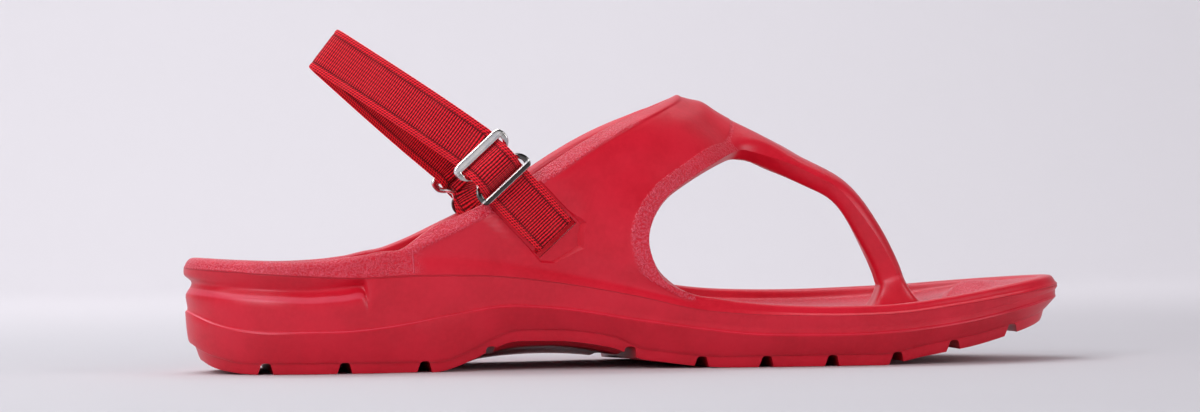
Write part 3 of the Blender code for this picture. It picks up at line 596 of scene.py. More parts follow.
# Corners of a ring: share of the half width sideways, share of the thickness inwards.
STRAP_PROFILE = ((-0.66, 0.09), (0.0, 0.0), (0.66, 0.09), (1.02, 0.0), (0.84, 0.78),
                 (0.56, 0.99), (0.0, 1.0), (-0.56, 0.99), (-0.84, 0.78), (-1.02, 0.0))
SIDE_RIDGES = [3, 9]
FOOT_COLLAR = len(TOE_STRAP) - 1     # the ring where the strap starts to flare
print("ribs of one wing:", len(RIBS))


# %% [markdown]
# The wall of the arch could be a sheet with a Solidify modifier, but both edges would come out
# square and equally thick. A closed ring of points round each rib shapes the outer face, the
# lips and the inner face one by one. The rings at the feet are points of the sole's own rim.


# %% Rings round the wings
WING_WIDTH = WING_TO - WING_FROM + 1     # points across a wing, from collar to window
UNDER_ARCH = 40.0         # height of a point that surely lies inside the arch


def wing_rings(sole):
    """Closed rings round the arch's wall, [rib, place, xyz], the first place repeated last.

    Points on a rib are (1 - w) collar + w window + crown * 4w(1 - w) * outwards. Order: outer
    face from collar to window, two lip corners, inner face back, two lip corners.
    """
    base = sole[:, :, WING_FROM:WING_TO + 1]
    w = np.linspace(0.0, 1.0, WING_WIDTH)
    ribs = np.array(RIBS)
    up = (np.arange(len(ribs)) + 1) / len(ribs)
    ribs, up = np.concatenate([ribs, ribs[-2::-1]]), np.concatenate([up, up[-2::-1]])
    outer_side = np.arange(len(ribs)) >= len(RIBS)
    ends, crown = ribs[:, :6].reshape(-1, 2, 3).copy(), ribs[:, 6]
    # The outer wing mirrors the inner one, shifted to its own rim towards its foot.
    table = np.array(OUTLINE)
    wider = np.interp(ends[..., 0], table[:, 0], table[:, 1] + table[:, 2])
    mirrored = -ends[..., 1] + wider * (1 - up**1.5)[:, None]
    higher = column(HEIGHTS, ends[..., 0], 4) - column(HEIGHTS, ends[..., 0], 3)
    lift = higher * (1 - up)[:, None]
    lift[:, 0] -= OUTER_DROP * (1 - up**2)
    ends[..., 1] = np.where(outer_side[:, None], mirrored, ends[..., 1])
    ends[..., 2] += np.where(outer_side[:, None], lift, 0.0)
    length = np.linalg.norm(ends[:, 1] - ends[:, 0], axis=1)
    # The lowest ribs bow like the rim below them.
    flat = base[FACET_ROW]
    chord = flat[:, :1] + (flat[:, -1:] - flat[:, :1]) * w[None, :, None]
    bow = (flat - chord)[outer_side.astype(int)]
    # Outwards is mostly sideways at the foot of a wing and straight up in the middle.
    out = unit(np.stack([0.0 * up, np.where(outer_side, 1.0, -1.0) * (1 - up**2),
                         0.25 + up], -1))

    def on_ribs(start, stop):
        s = start[:, None] + (stop - start)[:, None] * w
        bulge = (crown[:, None] * 4 * s * (1 - s)
                 + KNEE * up[:, None]**6 * np.exp(-((s - KNEE_AT) / KNEE_LENGTH)**2))
        return (ends[:, :1] + (ends[:, 1:] - ends[:, :1]) * s[..., None]
                + bulge[..., None] * out[:, None]
                + np.maximum(0.0, 1 - 1.6 * up)[:, None, None] * bow)

    outer = np.concatenate([flat[:1], on_ribs((FACET_WIDTH - FACET_LESS * up**3) / length,
                                              1 - WINDOW_FACET_WIDTH / length), flat[1:]])
    normal = unit(np.cross(np.gradient(outer, axis=1), np.gradient(outer, axis=0)))
    inside = outer.mean(axis=(0, 1)) * (1, 1, 0) + (0, 0, UNDER_ARCH)
    normal = (normal * np.sign(((outer - inside) * normal).sum()))[1:-1]
    pull = INNER_PULL / length
    wall = WALL + WALL_TOP * up[:, None]**3 * (1 - w)
    inner = on_ribs(pull, 1 - pull) - wall[..., None] * normal
    back, front = normal[:, 0], normal[:, -1]
    thick = (WALL + WALL_TOP * up**3)[:, None]
    rings = np.concatenate([
        outer[1:-1],
        (ends[:, 1] - WINDOW_LIP_DROP * front)[:, None],
        (ends[:, 1] - (WALL - ROUNDING) * front)[:, None],
        inner[:, ::-1],
        (ends[:, 0] - (thick - ROUNDING) * back)[:, None],
        (ends[:, 0] - LIP_DROP * back)[:, None]], 1)
    sides = np.concatenate([
        base[FACET_ROW], base[[RIM_ROW, RIM_IN_ROW], :, -1].swapaxes(0, 1),
        base[INNER_ROW][:, ::-1], base[[RIM_IN_ROW, RIM_ROW], :, 0].swapaxes(0, 1)], 1)
    rings = np.concatenate([sides[:1], rings, sides[1:]])
    return np.concatenate([rings, rings[:, :1]], 1)


WINGS = wing_rings(SOLE)
MIDDLE_RIB = len(WINGS) // 2
print("rings and places:", WINGS.shape[:2])


# %% [markdown]
# Each ring of the toe strap has a width and a thickness of its own. The first takes its
# corners from the wings and the last from the edge of a hole in the footbed, so the foam runs
# on without a seam. A separate tube pushed into the footbed would show a hard line there.


# %% Rings of the toe strap
def toe_strap_rings(sole, wings):
    """Rings of ten corners, from the arch's front edge to the hole in the footbed. A corner
    is the middle line + s * half width * sideways - d * thickness * upwards."""
    table = np.array(TOE_STRAP)
    line = table[:, (0, 2, 1)]
    whole = np.vstack([STRAP_START, line, STRAP_FOOT])
    tangent = unit(np.gradient(whole, axis=0)[1:-1])
    side = unit(np.cross((0.0, 0.0, 1.0), tangent))
    up = np.cross(tangent, side)
    profile = np.array(STRAP_PROFILE)
    depth = np.tile(profile[:, 1], (len(table), 1))
    depth[:, SIDE_RIDGES] = table[:, 5:]
    half, thick = table[:, 3, None, None], table[:, 4, None, None]
    rings = (line[:, None] + half * profile[None, :, :1] * side[:, None]
             - thick * depth[..., None] * up[:, None])
    left, centre, right = wings[MIDDLE_RIB - 1], wings[MIDDLE_RIB], wings[MIDDLE_RIB + 1]
    f = WING_WIDTH - 1
    start = np.array([left[f], centre[f], right[f], right[f + 1], right[f + 2], right[f + 3],
                      centre[f + 3], left[f + 3], left[f + 2], left[f + 1]])
    near, far = sole[-2], sole[-1]
    foot = np.array([near[0, POST_TO], far[0, POST_TO], near[1, POST_TO],
                     near[1, POST_TO - 1], near[1, POST_FROM + 1], near[1, POST_FROM],
                     far[0, POST_FROM], near[0, POST_FROM], near[0, POST_FROM + 1],
                     near[0, POST_TO - 1]])
    rings = np.concatenate([start[None], rings, foot[None]])
    return np.concatenate([rings, rings[:, :1]], 1)


TOE_RINGS = toe_strap_rings(SOLE, WINGS)
print("rings of the toe strap:", len(TOE_RINGS))

# %% [markdown]
# The three patches are welded where they share points. The chart keeps a number for each
# station and row, so that a material can find the rim, a lip or the parting line later. The
# stations of each patch start at a number of their own.


# %% The cage
SIDE_CHART, WING_CHART, TOE_CHART = 100.0, 200.0, 300.0    # first station of each patch


def chart(rows, columns, start):
    """Chart of a patch: start plus the column, and the row."""
    return np.stack(np.meshgrid(start + np.arange(columns), np.arange(rows)), -1).astype(float)


def build_cage():
    """The whole body's cage as one mesh."""
    cage = Cage()
    rows, _, count = SOLE.shape[:3]
    holes = np.zeros((rows - 1, count - 1), bool)
    holes[FACET_ROW:INNER_ROW, WING_FROM:WING_TO] = True
    holes[rows - 2, POST_FROM:POST_TO] = True
    for side in (0, 1):
        index = cage.patch(SOLE[:, side], chart(rows, count, SIDE_CHART * side), holes)
        for row, amount in ((EDGE_ROW, 0.6), (LUG_ROW, 0.3), (LUG_TOP_ROW, 0.15),
                            (WAVE_ROW, 0.8), (WAVE_TOP_ROW, 0.5), (LEDGE_ROW, 0.35),
                            (GROOVE_TOP_ROW, 0.3)):
            cage.sharpen(index[row], amount)
        cage.sharpen(index[PARTING_ROW, HEEL_ARC - 3:3 - TOE_ARC], 0.6)
        for row, amount in ((FACET_ROW, 0.1), (RIM_ROW, 0.25), (RIM_IN_ROW, 0.15)):
            cage.sharpen(index[row, :WING_FROM + 1], amount)
            cage.sharpen(index[row, WING_TO:], amount)
    places = WINGS.shape[1]
    holes = np.zeros((len(WINGS) - 1, places - 1), bool)
    holes[MIDDLE_RIB - 1:MIDDLE_RIB + 1, WING_WIDTH - 1:WING_WIDTH + 2] = True
    index = cage.patch(WINGS, chart(len(WINGS), places, WING_CHART), holes)
    up = 1 - np.abs(np.arange(len(WINGS) - 1) + 0.5 - MIDDLE_RIB) / MIDDLE_RIB
    fade, even = step(up, 0.95, 0.55), np.ones(len(up))
    for place, amount in ((0, 0.1 * fade), (places - 2, 0.25 + 0.4 * fade),
                          (places - 3, 0.3 * even)):
        cage.sharpen(index[:, place], amount)
    for place, amount in ((WING_WIDTH - 1, 0.12 * fade), (WING_WIDTH, 0.75 * even),
                          (WING_WIDTH + 1, 0.3 * even)):
        cage.sharpen(index[:MIDDLE_RIB, place], amount[:MIDDLE_RIB - 1])
        cage.sharpen(index[MIDDLE_RIB + 1:, place], amount[MIDDLE_RIB + 1:])
    index = cage.patch(TOE_RINGS, chart(len(TOE_RINGS), TOE_RINGS.shape[1], TOE_CHART))
    for place in SIDE_RIDGES:
        cage.sharpen(index[:-1, place], 0.95)
    cage.sharpen(index[FOOT_COLLAR], 0.6)
    return cage.mesh("moulded_body_foam")


CAGE = build_cage()
print("faces of the cage:", len(CAGE.polygons))

# %% [markdown]
# A Subdivision Surface pulls a round shape inside its cage: the toe strap would come out too
# thin and the sole too short. A maker could enlarge the cage by eye. Here it is done by
# measuring: the cage's points move out by what the rounded surface misses them by, a few
# times over, until the surface passes through the places in the tables.


# %% Rounding the body
EAGERNESS = 0.9           # share of the miss that one round makes good


def rounded(name, cage, levels, rounds):
    """The cage's mesh subdivided, with its surface brought back to the cage's own points."""
    obj = new_piece(name, cage)
    subdivision = obj.modifiers.new("rounding", "SUBSURF")
    subdivision.levels = subdivision.render_levels = levels
    goal = np.empty(3 * len(cage.vertices))
    cage.vertices.foreach_get("co", goal)
    moved = goal.copy()
    for _ in range(rounds):
        cage.vertices.foreach_set("co", moved)
        cage.update()
        bpy.context.view_layer.update()
        fine = obj.evaluated_get(bpy.context.evaluated_depsgraph_get()).data
        surface = np.empty(3 * len(fine.vertices))
        fine.vertices.foreach_get("co", surface)
        missed = goal - surface[:len(goal)]
        print("  furthest miss", round(float(np.abs(missed).max()) / MM, 3), "mm")
        moved += EAGERNESS * missed
    cage.vertices.foreach_set("co", moved)
    cage.update()
    return obj


BODY = rounded("foam_body", CAGE, levels=2, rounds=5)
work_out(BODY)
print("body after subdivision:", len(BODY.data.polygons), "faces")

# %% [markdown]
# ## Where the heel strap sits
#
# Both ends of the strap lie on a wing, in a flat seat that the mould leaves for it. Each seat
# has its own directions: across the strap, along it and out of the wing. Everything that
# belongs to the strap, the pockets and the buckles, is placed with them.

# %% Seats
# Inner and outer seat: x, y, z of the slot on the wing's outer face, how fast that face's y
# changes along x and along z, and how far up the strap the buckle's middle bar sits.
SEATS = ((114.8, -33.45, 41.0, -0.021, 0.022, 29.8), (115.9, 41.9, 37.65, 0.104, -0.131, 29.8))
STRAP_LEAN = math.radians(42.4)     # of the strap from upright, seen from the side
POCKET_DEPTH = 0.9        # of the seat below the wing's face
SEAT_TOP = -0.05          # how high the foam may stand under the strap
SHOULDER = (13.0, 9.2)    # across: from no pressing to full pressing
SEAT_START = (-2.0, 5.0)  # along: the same
SEAT_SKIN = (-2.2, 8.0)   # heights over the seat between which points are pressed


def seat_axes(seat):
    """Origin of a seat and its three directions: across to the toe, along, and outwards."""
    x, y, z, slope_x, slope_z = SEATS[seat][:5]
    sign = (-1.0, 1.0)[seat]
    out = unit(sign * np.array([-slope_x, 1.0, -slope_z]))
    along_x, along_z = -math.sin(STRAP_LEAN), math.cos(STRAP_LEAN)
    along = unit(np.array([along_x, slope_x * along_x + slope_z * along_z, along_z]))
    across = np.cross(along, out)
    across *= np.sign(across[0])
    return np.array([x, y, z]) - POCKET_DEPTH * out, np.array([across, along, out])


def on_seat(seat, places):
    """Points from places (across, along, outwards) on a seat."""
    origin, axes = seat_axes(seat)
    return origin + np.asarray(places, float) @ axes


print("the inner seat looks towards", np.round(seat_axes(0)[1][2], 2))

# %% [markdown]
# ## Soft shaping
#
# A sculptor would press the strap's seat into the wing with a broad brush and leave soft
# shoulders. The same is done here by moving points: a point over the seat is lowered to it,
# and a soft step on both sides fades this out.


# %% Press the seats into the wings
def press_seats(points):
    """Lowers the wing's outer face where the strap lies on it: a height n over the seat
    becomes n + near * (lowered n - n), where near fades from 1 to 0 at the shoulders."""
    for seat in (0, 1):
        origin, axes = seat_axes(seat)
        local = (points - origin) @ axes.T
        w, u, n = local.T
        skin = (n > SEAT_SKIN[0]) * (n < SEAT_SKIN[1])
        near = step(np.abs(w), *SHOULDER) * step(u, *SEAT_START) * skin
        local[:, 2] = n + near * (np.minimum(n, SEAT_TOP) - n)
        points = local @ axes + origin
    return points


write_points(BODY.data, press_seats(read_points(BODY.data)))
print("body box after pressing, mm:", np.round(np.ptp(read_points(BODY.data), axis=0), 1))

# %% [markdown]
# ## Cuts in the foam
#
# The tread has grooves across it, and the strap passes through a slot in each wing and comes
# out in a pocket with a sloped edge. Sharp-edged hollows like these don't belong in a smooth
# cage. They are cut with Booleans, by plain solids that are as crisp as the mould's inserts.

# %% Sizes of the cuts
# Tread grooves: x, width at the floor, width at the top, height.
GROOVES = (
    (24.8, 5.2, 3.3, 3.5),
    (48.8, 5.2, 3.3, 3.5),
    (73.6, 5.2, 3.3, 3.5),
    (94.6, 4.6, 3.6, 7.6),
    (137.6, 5.0, 3.4, 6.9),
    (159.5, 5.2, 3.3, 3.6),
    (179.4, 5.2, 3.3, 3.5),
    (199.9, 5.2, 3.3, 3.5),
    (220.7, 5.2, 3.3, 3.5),
    (239.8, 5.2, 3.3, 3.3),
    (261.0, 5.2, 3.3, 3.2),
)
GROOVE_REACH, GROOVE_BELOW = 70.0, 4.0     # of a cutter, past the sole's sides and under it
GROOVE_ROUND = 0.36       # radius of a groove's upper corners over its width at the top

# Outlines on a seat: across, along. The slot through the wing, the pocket round the strap
# outside the wing and the one inside it, both open at the top.
SLOT = ((-8.1, -0.9), (7.6, -0.9), (7.6, 2.1), (-8.1, 2.1))
POCKET = ((-8.6, 40.0), (-8.6, -1.9), (-5.8, -4.8), (3.2, -6.4), (5.5, -4.0), (8.6, -2.1),
          (8.6, 40.0))
INNER_POCKET = ((-8.5, 40.0), (-8.5, -2.6), (8.5, -2.6), (8.5, 40.0))
WALL_AT_SLOT = 3.7        # between the outer and the inner seat

# What is cut, with its levels: height over the seat, how much the outline has grown there.
SEAT_CUTS = ((POCKET, ((-0.25, -0.3), (3.0, 2.95))),
             (INNER_POCKET, ((-14.0, 0.0), (-WALL_AT_SLOT, 0.0))),
             (SLOT, ((-7.0, 0.0), (3.0, 0.0))))
print("tread grooves:", len(GROOVES))


# %% [markdown]
# A cutter is a closed solid that reaches past the foam wherever the hollow is open, so that
# none of its faces lies in a face of the body. Exact Booleans then take the cutters away.


# %% Cutters
def groove_cutter(x, ground, top, height):
    """A groove across the tread: a tapered slot whose top corners are rounded by a
    quarter circle each."""
    floor = float(underside(x))
    spread = 0.5 * (ground - top) * (GROOVE_BELOW / height)
    radius = GROOVE_ROUND * top
    turn = np.radians(np.linspace(0.0, 90.0, 5))
    right = np.stack([top / 2 - radius + radius * np.cos(turn),
                      height - radius + radius * np.sin(turn)], -1)
    half = np.vstack([[ground / 2 + spread, -GROOVE_BELOW], right])
    outline = np.vstack([half, half[::-1] * (-1, 1)])
    ring = np.stack([x + outline[:, 0], 0 * outline[:, 0], floor + outline[:, 1]], -1)
    reach = np.array((0.0, GROOVE_REACH, 0.0))
    return tube("groove", np.array([ring - reach, ring + reach]))


def grown(outline, by):
    """The outline moved outwards: each corner goes along the sum of its sides' normals,
    divided by 1 + the cosine of the angle between them, so that both sides move equally."""
    p = np.asarray(outline, float)
    sides = unit(np.roll(p, -1, 0) - p)
    normals = np.stack([sides[:, 1], -sides[:, 0]], -1)
    area = 0.5 * (p[:, 0] * np.roll(p[:, 1], -1) - p[:, 1] * np.roll(p[:, 0], -1)).sum()
    normals *= np.sign(area)
    before = np.roll(normals, 1, 0)
    return p + by * (normals + before) / (1 + (normals * before).sum(1, keepdims=True))


def seat_cutter(seat, outline, levels):
    """A solid over a seat: the outline grown by an amount at each height."""
    rings = [on_seat(seat, np.column_stack([grown(outline, by), np.full(len(outline), n)]))
             for n, by in levels]
    return tube("seat", np.array(rings))


def carve(obj, cutter):
    """Cuts the cutter out of the object for good."""
    cut = obj.modifiers.new("cut", "BOOLEAN")
    cut.operation = "DIFFERENCE"
    cut.solver = "EXACT"
    cut.object = cutter
    work_out(obj)
    bpy.data.objects.remove(cutter, do_unlink=True)


carve(BODY, joined("tread_grooves", [groove_cutter(*row) for row in GROOVES]))
for outline, levels in SEAT_CUTS:
    carve(BODY, joined("strap_cut", [seat_cutter(seat, outline, levels) for seat in (0, 1)]))
shade(BODY.data, sharp_degrees=30)
print("body after the cuts:", len(BODY.data.polygons), "faces")

# %% [markdown]
# ## The heel strap
#
# The strap is one length of elastic webbing. Each end hooks round the middle bar of its
# buckle, runs down inside the wing, comes out through the slot, goes up the outside and back
# through the buckle, and the rest goes round behind the heel in a fold. It could be a curve
# with a bevel, but a swept grid of points keeps the width across the strap under control at
# every step and gives a UV map in millimetres for the weave.

# %% Sizes of the strap and its route
STRAP_WIDTH, STRAP_THICK, GAP = 15.2, 1.5, 0.32
STRAP_IN_SLOT, TURN = 1.25, 1.15    # place along in the slot, radius of the turns there
BUCKLE_RISE = 3.3         # of the buckle's plane over the outer seat
NECK = 6.6                # half length of the middle bar, between the rails
MIDDLE_BAR_RADIUS, MIDDLE_BAR_DROP = 1.0, 1.15
END_HALF, PINCHED = 5.85, 7.0       # half widths of the inner end and in the slot
SLACK, SLACK_AT, SLACK_LENGTH = (0.0, -3.0), 23.5, 5.5   # wandering inside the wings

# Buckle, from its middle bar: the frame's centre line (across, along, depth) and its
# section (width in the frame's plane, thickness), from the flat bar to the lower bar.
FRAME = (
    (0.0, 6.55, 0.0, 2.9, 1.2),
    (3.6, 6.55, 0.0, 2.9, 1.2),
    (6.2, 6.55, 0.0, 2.9, 1.2),
    (7.5, 6.55, 0.0, 2.8, 1.2),
    (8.7, 6.35, 0.0, 2.5, 1.25),
    (9.1, 5.3, 0.0, 2.0, 1.3),
    (9.0, 3.9, 0.0, 1.9, 1.3),
    (8.2, 2.7, -0.35, 1.7, 1.3),
    (7.0, 1.6, -0.95, 1.4, 1.3),
    (6.5, 0.0, -1.15, 1.2, 1.3),
    (7.0, -1.6, -0.95, 1.4, 1.3),
    (8.2, -2.7, -0.35, 1.7, 1.3),
    (9.0, -4.0, 0.0, 1.8, 1.35),
    (9.15, -5.9, 0.0, 1.9, 1.5),
    (8.7, -6.7, 0.0, 1.9, 1.7),
    (7.5, -6.8, 0.0, 2.1, 1.7),
    (6.2, -6.8, 0.0, 2.1, 1.7),
    (3.6, -6.8, 0.0, 2.1, 1.7),
    (0.0, -6.8, 0.0, 2.1, 1.7),
)

# The loop behind the heel: where it leaves a buckle (over the middle bar, over the seat), its
# fold, the direction across the strap there, and its sag: share of the way to the fold, share
# of the sideways distance that is left.
LOOP_START = (7.9, 1.65)
FOLD = (46.4, 0.8, 101.1)
LOOP_ACROSS = (0.614, 0.0, 0.789)
LOOP = ((0.0, 1.0), (0.04, 0.99), (0.10, 0.965), (0.22, 0.90), (0.36, 0.79), (0.50, 0.655),
        (0.63, 0.51), (0.75, 0.365), (0.85, 0.24), (0.925, 0.145), (0.97, 0.08), (1.0, 0.0))
TWIST_BY = 0.08           # share of the way after which the strap has turned to that direction
print("half of the buckle's frame has", len(FRAME), "places")


# %% [markdown]
# The route is drawn flat first, on a wing's seat: how far along, and how far out from the
# foam. Arcs take it round the bars and through the slot, a small gap away from what it
# passes. Then it is laid on both seats, and the two ends are joined behind the heel.


# %% Route of the strap
def arc(centre, radius, start, end, steps):
    """Points on an arc from one angle to another, in degrees."""
    a = np.radians(np.linspace(start, end, steps + 1))
    return np.stack([centre[0] + radius * np.cos(a), centre[1] + radius * np.sin(a)], -1)


def strap_route(buckle_at):
    """The strap's middle line on a seat as rows of (along, outwards, half width), from its
    inner end, round the middle bar, down inside, through the slot and up to the flat bar."""
    half = STRAP_WIDTH / 2
    bar = (buckle_at, BUCKLE_RISE - MIDDLE_BAR_DROP)
    hook = MIDDLE_BAR_RADIUS + GAP + STRAP_THICK / 2
    over = hook + GAP + STRAP_THICK
    inner = -(WALL_AT_SLOT + GAP + STRAP_THICK / 2)
    outer = GAP + STRAP_THICK / 2
    low = buckle_at + FRAME[-1][1]
    flat = (buckle_at + FRAME[0][1] - FRAME[0][3] / 2, BUCKLE_RISE - FRAME[0][4] / 2)

    def wide(points, width):
        return np.column_stack([points, np.full(len(points), width)])

    return np.concatenate([
        wide(arc(bar, hook, 98.0, -112.0, 12), END_HALF),
        [(bar[0] - 1.6, -0.7, END_HALF), (bar[0] - 2.4, -1.9, 6.5), (bar[0] - 3.2, -3.0, 6.9),
         (bar[0] - 4.1, -4.0, 7.2), (bar[0] - 5.2, inner + 0.2, 7.5),
         (bar[0] - 6.4, inner, half), (14.0, inner, half), (6.0, inner, half)],
        wide(arc((STRAP_IN_SLOT + TURN, inner + TURN), TURN, -90.0, -180.0, 5), PINCHED),
        wide(arc((STRAP_IN_SLOT + TURN, outer - TURN), TURN, 180.0, 90.0, 5), PINCHED),
        [(7.0, outer, 7.45), (14.0, outer, half), (low - 1.6, outer, half),
         (low, outer + 0.02, half), (low + 1.2, outer + 0.2, half),
         (low + 2.2, outer + 0.85, half), (low + 3.05, outer + 1.95, half),
         (low + 3.75, outer + 3.2, half)],
        wide(arc(bar, over, 124.0, 24.0, 8), half),
        wide(arc(flat, STRAP_THICK / 2 + GAP, 192.0, 270.0, 4), half),
        [(flat[0] + 0.9, flat[1] - STRAP_THICK / 2 - GAP, half)]])


def loop_knots(seat):
    """The strap from a buckle to the fold behind the heel: points, directions, half widths."""
    across = seat_axes(seat)[1][0]
    start = on_seat(seat, (0.0, SEATS[seat][5] + LOOP_START[0], LOOP_START[1]))
    share, left = np.array(LOOP).T
    points = start + share[:, None] * (np.array(FOLD) - start)
    points[:, 1] = FOLD[1] + left * (start[1] - FOLD[1])
    blend = step(share, 0.0, TWIST_BY)[:, None]
    turned = (1 - blend) * across + blend * np.array(LOOP_ACROSS)
    return np.column_stack([points, turned, np.full(len(share), STRAP_WIDTH / 2)])


def strap_knots():
    """Rows of (point, direction across, half width) along the whole strap. Inside the wing
    an end wanders sideways by slack * e^-(distance from the slack's middle / length)^2."""
    ends = []
    for seat in (0, 1):
        route = strap_route(SEATS[seat][5])
        slack = (SLACK[seat] * np.exp(-((route[:, 0] - SLACK_AT) / SLACK_LENGTH)**2)
                 * step(route[:, 1], 0.5, -2.0))
        places = np.column_stack([slack, route[:, :2]])
        across = np.tile(seat_axes(seat)[1][0], (len(route), 1))
        ends.append(np.column_stack([on_seat(seat, places), across, route[:, 2]]))
    return np.concatenate([ends[0], loop_knots(0), loop_knots(1)[-2::-1], ends[1][::-1]])


KNOTS = strap_knots()
KNOT_AT = np.concatenate([[0.0], np.cumsum(np.linalg.norm(np.diff(KNOTS[:, :3], axis=0),
                                                          axis=1))])
print("length of the webbing:", round(KNOT_AT[-1]), "mm")


# %% [markdown]
# Woven webbing has rounded edges with a thicker selvage along them. This section is carried
# along the route. The distance covered becomes the first coordinate of the UV map, in
# millimetres, so the threads keep their size in every bend.


# %% Sweep the webbing
SECTION_STEP = 0.75       # between two rings along the strap
# Half of the section's upper face: distance from the edge, share of half the thickness. It
# is rounded at the edge and has a shallow groove inside the selvage.
SECTION = ((0.0, 0.0), (0.10, 0.55), (0.35, 0.88), (0.8, 1.0), (1.3, 0.98), (1.75, 0.86),
           (2.1, 0.80), (2.5, 0.93), (3.4, 0.96))


def webbing_section():
    """The table mirrored to the other edge and to the lower face, as a closed ring: which
    side (-1 or 1), distance in from that edge, share of half the thickness."""
    half = np.column_stack([np.full(len(SECTION), -1.0), SECTION])
    top = np.vstack([half, half[::-1] * (-1, 1, 1)])
    bottom = top[::-1][1:] * (1, 1, -1)
    return np.vstack([top, bottom])


def sweep_webbing(name):
    """Section carried along the knots. A point is the middle line + side * across + height *
    normal, with the normal square to both the tangent and the across direction."""
    at = np.linspace(0.0, KNOT_AT[-1], int(KNOT_AT[-1] / SECTION_STEP))
    rows = np.stack([smooth(at, KNOT_AT, KNOTS[:, k]) for k in range(7)], -1)
    points, across, half = rows[:, :3], rows[:, 3:6], rows[:, 6]
    tangent = unit(np.gradient(points, axis=0))
    across = unit(across - (across * tangent).sum(1, keepdims=True) * tangent)
    normal = np.cross(tangent, across)
    section = webbing_section()
    side = section[:, 0] * (half[:, None] - section[:, 1])
    height = np.broadcast_to(section[:, 2] * STRAP_THICK / 2, side.shape)
    rings = (points[:, None] + side[..., None] * across[:, None]
             + height[..., None] * normal[:, None])
    weave = np.stack([np.broadcast_to(at[:, None], side.shape), side], -1)
    mesh = tube(name, rings[:, :-1], chart=("weave", weave))
    shade(mesh, sharp_degrees=60)
    return mesh


WEBBING = new_piece("heel_webbing", sweep_webbing("heel_webbing"))
print("webbing faces:", len(WEBBING.data.polygons))

# %% [markdown]
# ## The buckles
#
# A slide buckle is a bent steel frame with a middle bar. Its frame is a ring whose section
# changes on the way: a broad flat bar at the top, thin rails at the sides that step in to hold
# the middle bar, and a stouter bar below. A table gives the ring's centre line and its width
# and thickness, and a rounded box section is carried round it.


# %% Buckle frames
FRAME_STEPS = 5           # places of the finer ring between two rows of the table
BAR_SIDES, BAR_PLACES = 24, 9       # corners round the middle bar, rings along it


def buckle_ring():
    """The table mirrored into a closed ring and made finer: (across, along, depth, width,
    thickness) at places about half a millimetre apart."""
    half = np.array(FRAME)
    ring = np.vstack([half, half[-2:0:-1] * (-1, 1, 1, 1, 1)])
    return closed_curve(ring, FRAME_STEPS)


def buckle_section(count=20, square=3.2):
    """A rounded box: |c|^square + |d|^square = 1, at equal angles."""
    a = np.linspace(0, 2 * math.pi, count, endpoint=False) + math.pi / count
    c, d = np.cos(a), np.sin(a)
    reach = (np.abs(c)**square + np.abs(d)**square) ** (1 / square)
    return c / reach, d / reach


def buckle_meshes(seat, name):
    """Frame: centre + c * width / 2 * sideways + d * thickness / 2 * outwards. The middle bar
    is a round rod between the rails."""
    ring = buckle_ring()
    tangent = unit(np.roll(ring[:, :2], -1, 0) - np.roll(ring[:, :2], 1, 0))
    side = np.stack([tangent[:, 1], -tangent[:, 0]], -1)
    c, d = buckle_section()
    c, d = c * ring[:, 3:4] / 2, d * ring[:, 4:5] / 2
    middle = SEATS[seat][5]
    places = np.stack([ring[:, :1] + side[:, :1] * c,
                       middle + ring[:, 1:2] + side[:, 1:] * c,
                       BUCKLE_RISE + ring[:, 2:3] + d], -1)
    turn = np.linspace(0, 2 * math.pi, BAR_SIDES, endpoint=False)
    rod = np.stack(np.broadcast_arrays(
        np.linspace(-NECK, NECK, BAR_PLACES)[:, None],
        middle + MIDDLE_BAR_RADIUS * np.cos(turn),
        BUCKLE_RISE - MIDDLE_BAR_DROP + MIDDLE_BAR_RADIUS * np.sin(turn)), -1)
    return [tube(name, on_seat(seat, places), closed=True),
            tube(name + "_bar", on_seat(seat, rod))]


def plan_map(mesh, seat):
    """Writes a UV map with the place of each point on the buckle: across, along, in mm."""
    origin, axes = seat_axes(seat)
    plan = (read_points(mesh) - origin) @ axes.T[:, :2] - (0.0, SEATS[seat][5])
    corner = np.empty(len(mesh.loops), int)
    mesh.loops.foreach_get("vertex_index", corner)
    write_uv(mesh, "plan", plan[corner])


BUCKLES = []
for seat, name in enumerate(("medial", "lateral")):
    buckle = joined("steel_buckle_" + name, buckle_meshes(seat, name))
    shade(buckle.data, sharp_degrees=40)
    plan_map(buckle.data, seat)
    BUCKLES.append(buckle)
    print(buckle.name, len(buckle.data.polygons), "faces")

# %% [markdown]
# ## Writing a material as arithmetic
#
# A finish is worked out from numbers that vary over the surface: how far along the strap, how
# grainy, how worn. In Blender each step is a node. A small class lets Python do the wiring,
# so that 1 - grain adds a Math node and links it. Patterns on the foam read Object
# coordinates, in millimetres, and the weave reads the strap's own UV map.


